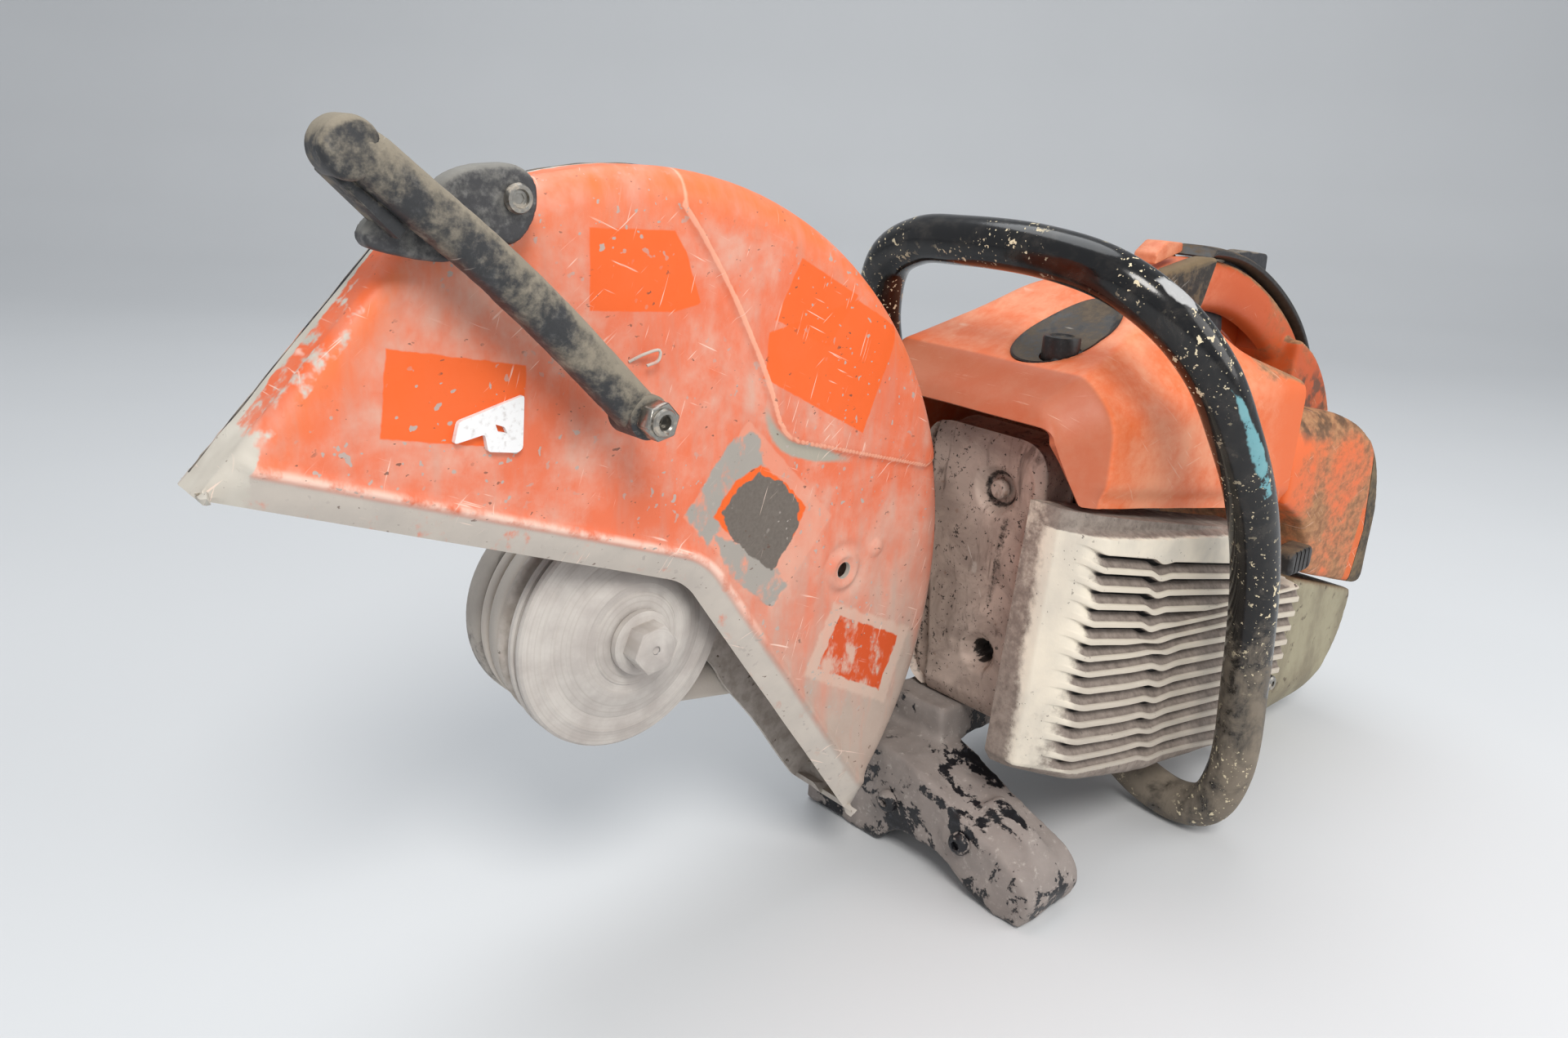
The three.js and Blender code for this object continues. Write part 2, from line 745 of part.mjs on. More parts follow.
function housingMass(wall, past) {
  const side = shapeOf([
    [HOOD_REAR + GAP - past, 62 - wall],
    [HOOD_REAR + GAP - past, 8],
    [404, 8],
    [432, -8],
    [446, -34 + wall],
    [446, -44 + wall],
    [541 - wall, -73 + wall],
    [542 - wall, -14],
    [525 - wall, 21 - wall],
    [498, 43 - wall],
    [470, 55 - wall],
  ]);
  const front = shapeOf([
    [BODY_NEAR + wall, -90],
    [BODY_NEAR + wall, 42],
    [-72, 72 - wall],
    [-30, 84 - wall],
    [12, 78 - wall],
    [BODY_FAR - 8 - wall, 46],
    [BODY_FAR - wall, -90],
  ]);
  return plate(side, -120, 80).intersect(bar(front, 350, 600));
}

const handleTop = [
  [318, 138],
  [350, 146],
  [400, 141],
  [450, 121],
  [490, 93],
  [514, 62],
  [524, 28],
];
const BAR_DEPTH = 30;
const HALF_GRIP = 17;

function rearHandle() {
  const bow = plate(ribbonShape(handleTop, -BAR_DEPTH, 0), HANDLE_Y - HALF_GRIP, HANDLE_Y + HALF_GRIP);
  const post = shapeOf([
    [316, 84],
    [316, 136],
    [330, 141],
    [350, 116],
    [354, 96],
    [358, 72],
    [410, 68],
    [410, 54],
    [349, 56],
    [349, 80],
    [324, 80],
  ]);
  const pocket = shapeOf([
    [354, 92],
    [450, 72],
    [450, 131],
    [396, 150],
    [384, 150],
    [354, 138],
  ]);
  return cut(
    join(bow, plate(post, HANDLE_Y - HALF_GRIP, HANDLE_Y + HALF_GRIP)),
    plate(pocket, HANDLE_Y - 8, HANDLE_Y + 8),
    housingMass(-GAP, 0),
  );
}

function rearHousing() {
  return cut(housingMass(0, 0), housingMass(SHELL, 10));
}

function gripInsert() {
  const strip = ribbonShape(handleTop, GAP, 7, 1 / 6, 5 / 6);
  const slot = block(386, 448, HANDLE_Y - 8, HANDLE_Y + 8, 100, 180);
  return cut(plate(strip, HANDLE_Y - HALF_GRIP + 1, HANDLE_Y + HALF_GRIP - 1), slot);
}

function throttleTrigger() {
  const blade = shapeOf([
    [357, 129],
    [366, 132],
    [382, 120],
    [402, 112],
    [405, 102],
    [392, 88],
    [386, 88],
    [386, 98],
    [374, 104],
    [358, 116],
  ]);
  return plate(blade, HANDLE_Y - 6, HANDLE_Y + 6);
}

function triggerLockout() {
  const blade = shapeOf([
    [390, 132],
    [400, 131],
    [444, 128],
    [447, 134],
    [446, 145],
    [420, 148],
    [398, 146],
    [390, 142],
  ]);
  return plate(blade, HANDLE_Y - 6, HANDLE_Y + 6);
}

const SWITCH_X = 332;

function stopSwitch() {
  const rocker = shapeOf([
    [SWITCH_X - 14, 144],
    [SWITCH_X, 147.2],
    [SWITCH_X + 12, 150],
    [SWITCH_X + 12, 155],
    [SWITCH_X - 4, 156],
    [SWITCH_X - 14, 150],
  ]);
  return plate(rocker, HANDLE_Y - 7, HANDLE_Y + 7);
}

add("fuel_tank", fuelTank(), paint.tank);
add("fuel_cap", fuelCap(), paint.black);
add("rear_housing", rearHousing(), paint.orange);
add("rear_handle", rearHandle(), paint.orange);
add("handle_grip_insert", gripInsert(), paint.black);
add("throttle_trigger", throttleTrigger(), paint.black);
add("trigger_lockout", triggerLockout(), paint.black);
add("stop_switch", stopSwitch(), paint.orange);

// Front handle, buffers and foot ----------------------------------------------------------------

const tubeRoute = [
  point(262, 68, -20),
  point(246, 68, 20),
  point(228, 68, 70),
  point(214, 65, 112),
  point(206, 52, 141),
  point(202, 28, 153.5),
  point(200, 0, 156.5),
  point(200, -50, 156.5),
  point(203, -86, 150),
  point(215, -110, 134),
  point(232, -124, 111),
  point(253, -130, 80),
  point(277, -132, 44),
  point(296, -132, 2),
  point(308, -132, -60),
  point(313, -131, -118),
  point(315, -121, -144),
  point(317, -103, -152.6),
  point(318, -80, -150),
  point(318, -56, -138),
];

function footBracket() {
  const side = shapeOf([
    [44, -108],
    [-24, -104],
    [-64, -120],
    [-92, -130],
    [-108, -137],
    [-115, -149],
    [-109, GROUND],
    [-84, GROUND],
    [-58, -150],
    [-24, -150],
    [-12, GROUND],
    [46, GROUND],
  ]);
  const shelf = block(190, 286, -26, 16, -112, CASE_BASE - GAP);
  return join(bar(side, 160, 206), shelf);
}

add("front_handle", tube(tubeRoute, TUBE_R, 12, 42), paint.gloss);
add("foot_bracket", footBracket(), paint.black);
for (const [name, y] of [["near", -70], ["far", -20]]) {
  add(`foot_screw_${name}`, pinAlongX(6, 155, 160 - GAP, y, -134, 12), paint.steel);
}
add("buffer_far", disc(10, COVER_FAR + GAP, 68 - TUBE_R - GAP, 250, 8, 16), paint.rubber);
add("buffer_near", pinAlongZ(11, -122, CASE_BASE - GAP, 318, -36), paint.rubber);
add("buffer_rear", pinAlongX(12, 348 + GAP, 434, -10, -75), paint.rubber);

const size = new THREE.Box3().setFromObject(saw);
const middle = size.getCenter(new THREE.Vector3());
saw.position.set(-middle.x, -middle.y, -size.min.z);

const machine = new THREE.Group();
machine.add(saw);
export default machine;
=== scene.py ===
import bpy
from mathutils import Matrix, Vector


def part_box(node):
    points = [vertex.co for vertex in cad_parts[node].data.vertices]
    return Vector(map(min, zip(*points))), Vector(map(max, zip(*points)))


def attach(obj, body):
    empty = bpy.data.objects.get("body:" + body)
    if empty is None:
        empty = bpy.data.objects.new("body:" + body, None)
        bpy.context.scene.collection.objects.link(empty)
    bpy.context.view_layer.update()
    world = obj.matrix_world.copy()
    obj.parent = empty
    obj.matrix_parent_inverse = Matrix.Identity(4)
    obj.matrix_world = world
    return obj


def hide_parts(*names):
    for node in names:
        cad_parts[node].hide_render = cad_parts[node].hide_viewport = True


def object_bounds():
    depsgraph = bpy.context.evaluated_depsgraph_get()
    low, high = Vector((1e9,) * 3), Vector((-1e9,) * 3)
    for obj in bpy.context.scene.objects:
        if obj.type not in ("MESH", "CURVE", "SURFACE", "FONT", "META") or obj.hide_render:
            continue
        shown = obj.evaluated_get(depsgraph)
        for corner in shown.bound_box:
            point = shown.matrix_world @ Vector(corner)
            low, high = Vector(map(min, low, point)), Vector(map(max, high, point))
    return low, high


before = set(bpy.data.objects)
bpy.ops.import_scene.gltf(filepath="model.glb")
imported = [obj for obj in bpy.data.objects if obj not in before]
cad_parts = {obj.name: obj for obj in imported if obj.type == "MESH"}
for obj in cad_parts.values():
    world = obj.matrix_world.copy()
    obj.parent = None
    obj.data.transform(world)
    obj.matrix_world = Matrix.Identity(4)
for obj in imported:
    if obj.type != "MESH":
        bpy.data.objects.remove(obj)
cad_box = [list(corner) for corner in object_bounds()]

import math

import bmesh
import bpy
import numpy as np
from mathutils import Matrix, Vector, noise

# Shapes are drawn in millimetres from the cutting spindle: x to the rear, y to the belt side,
# z up, with y = 0 in the plane where the cutting wheel would be clamped.
washer_low, washer_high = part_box("front_thrust_washer")
SPINDLE = np.array([
    (washer_low[0] + washer_high[0]) / 2,
    washer_high[1] + 0.0003,
    (washer_low[2] + washer_high[2]) / 2,
])
BODY_SLOPE = math.tan(math.radians(-10))  # the engine's body lines fall to the rear
scene = bpy.context.scene


def row(points):
    return np.asarray(points, dtype=float) / 1000 + SPINDLE


def smooth_step(value, low, high):
    t = np.clip((np.asarray(value, dtype=float) - low) / (high - low), 0, 1)
    return t * t * (3 - 2 * t)


def rough(point, size, seed=0.0):
    """Smooth noise from -1 to 1 with lumps of the given size in millimetres."""
    return noise.noise(Vector(point) / size + Vector((seed, 0.0, -seed)))


# Mesh helpers ---------------------------------------------------------------------------


def mesh_object(name, points, faces):
    mesh = bpy.data.meshes.new(name)
    mesh.from_pydata([tuple(p) for p in row(points)], [], faces)
    mesh.update()
    obj = bpy.data.objects.new(name, mesh)
    scene.collection.objects.link(obj)
    return obj


def points_of(obj):
    flat = np.empty(len(obj.data.vertices) * 3)
    obj.data.vertices.foreach_get("co", flat)
    return (flat.reshape(-1, 3) - SPINDLE) * 1000


def move_points(obj, points):
    obj.data.vertices.foreach_set("co", row(points).ravel())
    obj.data.update()


def outward(obj):
    """Turns every face of a closed mesh outward and welds doubled points."""
    work = bmesh.new()
    work.from_mesh(obj.data)
    bmesh.ops.remove_doubles(work, verts=work.verts, dist=1e-6)
    bmesh.ops.recalc_face_normals(work, faces=work.faces)
    work.to_mesh(obj.data)
    work.free()
    return obj


def bake_modifiers(obj):
    graph = bpy.context.evaluated_depsgraph_get()
    mesh = bpy.data.meshes.new_from_object(obj.evaluated_get(graph))
    old = obj.data
    obj.modifiers.clear()
    obj.data = mesh
    bpy.data.meshes.remove(old)
    return obj


def discard(obj):
    mesh = obj.data
    bpy.data.objects.remove(obj)
    bpy.data.meshes.remove(mesh)


def carve(obj, *cutters, operation="DIFFERENCE", solver="EXACT"):
    for cutter in cutters:
        change = obj.modifiers.new("carve", "BOOLEAN")
        change.operation = operation
        change.solver = solver
        change.object = cutter
    bake_modifiers(obj)
    for cutter in cutters:
        discard(cutter)
    return obj


def fuse(first, *others):
    """Puts several meshes into one object."""
    work = bmesh.new()
    for obj in (first, *others):
        work.from_mesh(obj.data)
    work.to_mesh(first.data)
    work.free()
    for obj in others:
        discard(obj)
    return first


def remould(obj, voxel=1.5, rounds=8):
    """Melts overlapping solids into one skin with soft edges, as moulded plastic has."""
    skin = obj.modifiers.new("skin", "REMESH")
    skin.mode = "VOXEL"
    skin.voxel_size = voxel / 1000
    ease = obj.modifiers.new("ease", "SMOOTH")
    ease.factor = 0.5
    ease.iterations = rounds
    return bake_modifiers(obj)


def soften(obj, width=0.8, segments=2, angle=38):
    """Rounds the sharp edges."""
    edge = obj.modifiers.new("edge", "BEVEL")
    edge.width = width / 1000
    edge.segments = segments
    edge.limit_method = "ANGLE"
    edge.angle_limit = math.radians(angle)
    edge.harden_normals = True
    return obj


def grid_faces(rows, columns, wrap=False, first=0):
    faces = []
    last = columns if wrap else columns - 1
    for i in range(rows - 1):
        for j in range(last):
            k = (j + 1) % columns
            low, high = first + i * columns, first + (i + 1) * columns
            faces.append((low + j, low + k, high + k, high + j))
    return faces


def fillet(corners, radius, steps=5):
    """Rounds the corners of an outline."""
    corners = [np.array(c, dtype=float) for c in corners]
    radii = radius if isinstance(radius, (list, tuple)) else [radius] * len(corners)
    result = []
    for i, corner in enumerate(corners):
        before, after = corners[i - 1], corners[(i + 1) % len(corners)]
        back, ahead = before - corner, after - corner
        reach = min(radii[i], 0.45 * np.linalg.norm(back), 0.45 * np.linalg.norm(ahead))
        start = corner + back / np.linalg.norm(back) * reach
        end = corner + ahead / np.linalg.norm(ahead) * reach
        for k in range(steps + 1):
            t = k / steps
            result.append(tuple((1 - t) ** 2 * start + 2 * t * (1 - t) * corner + t * t * end))
    return result


def prism(name, outline, near, far, across="y"):
    """An outline of (x, z) corners given thickness in y, or of (y, z) corners in x."""
    count = len(outline)
    points = []
    for depth in (near, far):
        for a, b in outline:
            points.append((a, depth, b) if across == "y" else (depth, a, b))
    faces = [tuple(range(count)), tuple(range(2 * count - 1, count - 1, -1))]
    faces += [(j, (j + 1) % count, count + (j + 1) % count, count + j) for j in range(count)]
    return outward(mesh_object(name, points, faces))


def block(name, low, high):
    outline = [(low[0], low[2]), (high[0], low[2]), (high[0], high[2]), (low[0], high[2])]
    return prism(name, outline, low[1], high[1])


def circle(radius, a=0.0, b=0.0, sides=48, turn=0.0):
    steps = [2 * math.pi * (i + turn) / sides for i in range(sides)]
    return [(a + radius * math.cos(t), b + radius * math.sin(t)) for t in steps]


def lathe(name, profile, x=0.0, z=0.0, sides=96, axis="y", y=0.0):
    """A closed profile of (radius, height) turned about an axis along y, x or z."""
    points = []
    for radius, height in profile:
        for i in range(sides):
            a, b = (
                radius * math.cos(2 * math.pi * i / sides), radius * math.sin(2 * math.pi * i / sides)
            )
            spot = {"y": (x + a, height, z + b), "x": (height, y + a, z + b), "z": (x + a, y + b, height)}
            points.append(spot[axis])
    faces = grid_faces(len(profile), sides, wrap=True)
    if profile[0][0] > 0 or profile[-1][0] > 0:
        end = (len(profile) - 1) * sides
        faces += [(end + j, end + (j + 1) % sides, (j + 1) % sides, j) for j in range(sides)]
    return outward(mesh_object(name, points, faces))


def smooth_route(points, count):
    """An even run of points along a smooth curve through the given ones."""
    knots = [np.array(p, dtype=float) for p in points]
    knots = [2 * knots[0] - knots[1], *knots, 2 * knots[-1] - knots[-2]]
    dense = []
    for i in range(1, len(knots) - 2):
        p0, p1, p2, p3 = knots[i - 1 : i + 3]
        t = [0.0]
        for a, b in ((p0, p1), (p1, p2), (p2, p3)):
            t.append(t[-1] + max(np.linalg.norm(b - a), 1e-6) ** 0.5)
        for k in range(24):
            s = t[1] + (t[2] - t[1]) * k / 24
            a1 = (t[1] - s) / (t[1] - t[0]) * p0 + (s - t[0]) / (t[1] - t[0]) * p1
            a2 = (t[2] - s) / (t[2] - t[1]) * p1 + (s - t[1]) / (t[2] - t[1]) * p2
            a3 = (t[3] - s) / (t[3] - t[2]) * p2 + (s - t[2]) / (t[3] - t[2]) * p3
            b1 = (t[2] - s) / (t[2] - t[0]) * a1 + (s - t[0]) / (t[2] - t[0]) * a2
            b2 = (t[3] - s) / (t[3] - t[1]) * a2 + (s - t[1]) / (t[3] - t[1]) * a3
            dense.append((t[2] - s) / (t[2] - t[1]) * b1 + (s - t[1]) / (t[2] - t[1]) * b2)
    dense.append(knots[-2])
    dense = np.array(dense)
    run = np.concatenate([[0], np.cumsum(np.linalg.norm(np.diff(dense, axis=0), axis=1))])
    even = np.linspace(0, run[-1], count)
    return np.stack([np.interp(even, run, dense[:, axis]) for axis in range(dense.shape[1])], axis=1)


def sweep(name, route, section, side=None):
    """A section of (across, up) corners moved along a route; section(t) gives it at 0 to 1."""
    count = len(route)
    tangents = np.gradient(route, axis=0)
    tangents /= np.linalg.norm(tangents, axis=1)[:, None]
    start = np.array(side if side is not None else (0.0, 1.0, 0.3))
    across = start - tangents[0] * (start @ tangents[0])
    points = []
    for i in range(count):
        wish = start if side is not None else across
        across = wish - tangents[i] * (wish @ tangents[i])
        across /= np.linalg.norm(across)
        up = np.cross(tangents[i], across)
        corners = section(i / (count - 1))
        points += [route[i] + a * across + b * up for a, b in corners]
    sides = len(corners)
    faces = grid_faces(count, sides, wrap=True)
    faces.append(tuple(range(sides)))
    faces.append(tuple(range(count * sides - 1, (count - 1) * sides - 1, -1)))
    return outward(mesh_object(name, points, faces))


def set_attribute(obj, name, values):
    layer = obj.data.attributes.new(name, "FLOAT", "POINT")
    layer.data.foreach_set("value", np.asarray(values, dtype=np.float32))


def finish_piece(obj, material, body, replaces=(), crisp=32):
    """Shades a piece and says which body it rides on and what it stands for."""
    obj.data.materials.clear()
    obj.data.materials.append(material)
    mesh = obj.data
    mesh.polygons.foreach_set("use_smooth", np.ones(len(mesh.polygons), dtype=bool))
    mesh.set_sharp_from_angle(angle=math.radians(crisp))
    spots = np.empty(3 * len(mesh.vertices), dtype=np.float32)
    mesh.vertices.foreach_get("co", spots)
    spots = np.clip(spots.reshape(-1, 3), np.array(cad_box[0]) + 2e-5, np.array(cad_box[1]) - 2e-5)
    mesh.vertices.foreach_set("co", spots.astype(np.float32).ravel())
    mesh.update()
    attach(obj, body)
    if replaces:
        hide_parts(*replaces)
    return obj


def oval_box(half_wide, low, high, power=3.2, sides=40):
    """A section like a rectangle with very round corners: (across, up)."""
    corners = []
    middle, half = (low + high) / 2, (high - low) / 2
    for i in range(sides):
        t = 2 * math.pi * i / sides
        c, s = math.cos(t), math.sin(t)
        a = half_wide * math.copysign(abs(c) ** (2 / power), c)
        b = middle + half * math.copysign(abs(s) ** (2 / power), s)
        corners.append((a, b))
    return corners


# Material helpers -----------------------------------------------------------------------


def tint(red, green, blue):
    """A colour given as it looks on a screen, 0 to 255."""
    linear = [
        ((c / 255 + 0.055) / 1.055) ** 2.4
        if c > 10 else c / 255 / 12.92
        for c in (red, green, blue)
    ]
    return (*linear, 1.0)


class Finish:
    """One material's nodes, written as short calls. Lengths are in millimetres."""

    def __init__(self, name, roughness=0.6, metallic=0.0):
        self.material = bpy.data.materials.new(name)
        self.material.use_nodes = True
        self.tree = self.material.node_tree
        self.shader = self.tree.nodes["Principled BSDF"]
        self.shader.inputs["Roughness"].default_value = roughness
        self.shader.inputs["Metallic"].default_value = metallic
        place = self.node("ShaderNodeTexCoord").outputs["Object"]
        scaled_place = self.vector("MULTIPLY", place, (1000, 1000, 1000))
        self.at = self.vector("SUBTRACT", scaled_place, tuple(SPINDLE * 1000))
        self.height = None

    def node(self, kind):
        return self.tree.nodes.new(kind)

    def join(self, value, socket):
        if isinstance(value, bpy.types.NodeSocket):
            self.tree.links.new(value, socket)
        else:
            socket.default_value = value

    def math(self, operation, a, b=0.0, clamp=False):
        step = self.node("ShaderNodeMath")
        step.operation = operation
        step.use_clamp = clamp
        self.join(a, step.inputs[0])
        self.join(b, step.inputs[1])
        return step.outputs[0]

    def times(self, a, b, clamp=False):
        return self.math("MULTIPLY", a, b, clamp)

    def plus(self, a, b, clamp=False):
        return self.math("ADD", a, b, clamp)

    def minus(self, a, b, clamp=False):
        return self.math("SUBTRACT", a, b, clamp)

    def vector(self, operation, a, b=(0, 0, 0)):
        step = self.node("ShaderNodeVectorMath")
        step.operation = operation
        self.join(a, step.inputs[0])
        self.join(b, step.inputs[1])
        return step.outputs["Value" if operation in ("DOT_PRODUCT", "LENGTH") else "Vector"]

    def part(self, axis, value=None):
        split = self.node("ShaderNodeSeparateXYZ")
        self.join(self.at if value is None else value, split.inputs[0])
        return split.outputs[axis]

    def noise(self, size, detail=3.0, stretch=(1, 1, 1), roughness=0.55, twist=0.0, shift=0.0):
        texture = self.node("ShaderNodeTexNoise")
        spread = tuple(1 / (size * s) for s in stretch)
        place = self.vector("MULTIPLY", self.at, spread)
        place = self.vector("ADD", place, (shift, shift * 0.7, -shift))
        self.join(place, texture.inputs["Vector"])
        texture.inputs["Scale"].default_value = 1.0
        texture.inputs["Detail"].default_value = detail
        texture.inputs["Roughness"].default_value = roughness
        texture.inputs["Distortion"].default_value = twist
        return texture.outputs[0]

    def step(self, value, low, high, start=0.0, end=1.0):
        ramp = self.node("ShaderNodeMapRange")
        ramp.interpolation_type = "SMOOTHSTEP"
        self.join(value, ramp.inputs["Value"])
        for name, number in (("From Min", low), ("From Max", high), ("To Min", start), ("To Max", end)):
            ramp.inputs[name].default_value = number
        return ramp.outputs[0]

    def mix(self, first, second, factor):
        blend = self.node("ShaderNodeMix")
        blend.data_type = "RGBA"
        blend.clamp_factor = True
        self.join(factor, blend.inputs[0])
        self.join(first, blend.inputs[6])
        self.join(second, blend.inputs[7])
        return blend.outputs[2]

    def all_of(self, first, *others):
        for other in others:
            first = self.times(first, other)
        return first

    def any_of(self, first, *others):
        for other in others:
            first = self.math("MAXIMUM", first, other)
        return first

    def upward(self, low=0.1, high=0.9):
        normal = self.node("ShaderNodeNewGeometry").outputs["Normal"]
        return self.step(self.part("Z", normal), low, high)

    def edges(self, low=0.52, high=0.6):
        return self.step(self.node("ShaderNodeNewGeometry").outputs["Pointiness"], low, high)

    def hollows(self, low=0.49, high=0.42):
        return self.step(self.node("ShaderNodeNewGeometry").outputs["Pointiness"], low, high)

    def tagged(self, name):
        tag = self.node("ShaderNodeAttribute")
        tag.attribute_name = name
        return tag.outputs["Fac"]

    def inside(self, corners, soft=0.5, ragged=0.8, size=5.0, plane="xz"):
        """1 inside a convex outline on the (x, z) plane and 0 outside, with a ragged edge."""
        middle = np.mean(corners, axis=0)
        reach = None
        for i, corner in enumerate(corners):
            ahead = corners[(i + 1) % len(corners)]
            normal = np.array([ahead[1] - corner[1], corner[0] - ahead[0]], dtype=float)
            normal /= np.linalg.norm(normal)
            if normal @ (np.array(corner) - middle) < 0:
                normal = -normal
            weights = {"xz": (normal[0], 0, normal[1]), "yz": (0, *normal), "xy": (*normal, 0)}[plane]
            side = self.vector("DOT_PRODUCT", self.at, weights)
            side = self.minus(side, float(normal @ np.array(corner)))
            reach = side if reach is None else self.math("MAXIMUM", reach, side)
        if ragged:
            wobble = self.minus(self.noise(size, 2.0, shift=middle[0]), 0.5)
            reach = self.plus(reach, self.times(wobble, 2 * ragged))
        return self.step(reach, soft, -soft)

    def scratches(self, angle, size=26.0, thin=0.05, amount=0.5, shift=0.0):
        """Long thin marks that run along one direction of the (x, z) plane."""
        turn = self.node("ShaderNodeVectorRotate")
        turn.rotation_type = "Y_AXIS"
        self.join(self.at, turn.inputs["Vector"])
        turn.inputs["Angle"].default_value = math.radians(angle)
        texture = self.node("ShaderNodeTexNoise")
        place = self.vector("MULTIPLY", turn.outputs[0], (1 / size, 1 / size, 1 / (size * thin)))
        self.join(self.vector("ADD", place, (shift, shift, shift)), texture.inputs["Vector"])
        texture.inputs["Scale"].default_value = 1.0
        texture.inputs["Detail"].default_value = 2.0
        return self.step(texture.outputs[0], 0.74 - 0.12 * amount, 0.78 - 0.1 * amount)

    def bump(self, height, depth, strength=1.0):
        """Adds relief of the given depth in millimetres."""
        relief = self.node("ShaderNodeBump")
        relief.inputs["Strength"].default_value = strength
        relief.inputs["Distance"].default_value = depth / 1000
        self.join(height, relief.inputs["Height"])
        if self.height is not None:
            self.join(self.height, relief.inputs["Normal"])
        self.height = relief.outputs[0]

    def done(self, colour, roughness=None, metallic=None, coat=None):
        self.join(colour, self.shader.inputs["Base Color"])
        if roughness is not None:
            self.join(roughness, self.shader.inputs["Roughness"])
        if metallic is not None:
            self.join(metallic, self.shader.inputs["Metallic"])
        if coat is not None:
            self.shader.inputs["Coat Weight"].default_value = coat
        if self.height is not None:
            self.join(self.height, self.shader.inputs["Normal"])
        return self.material


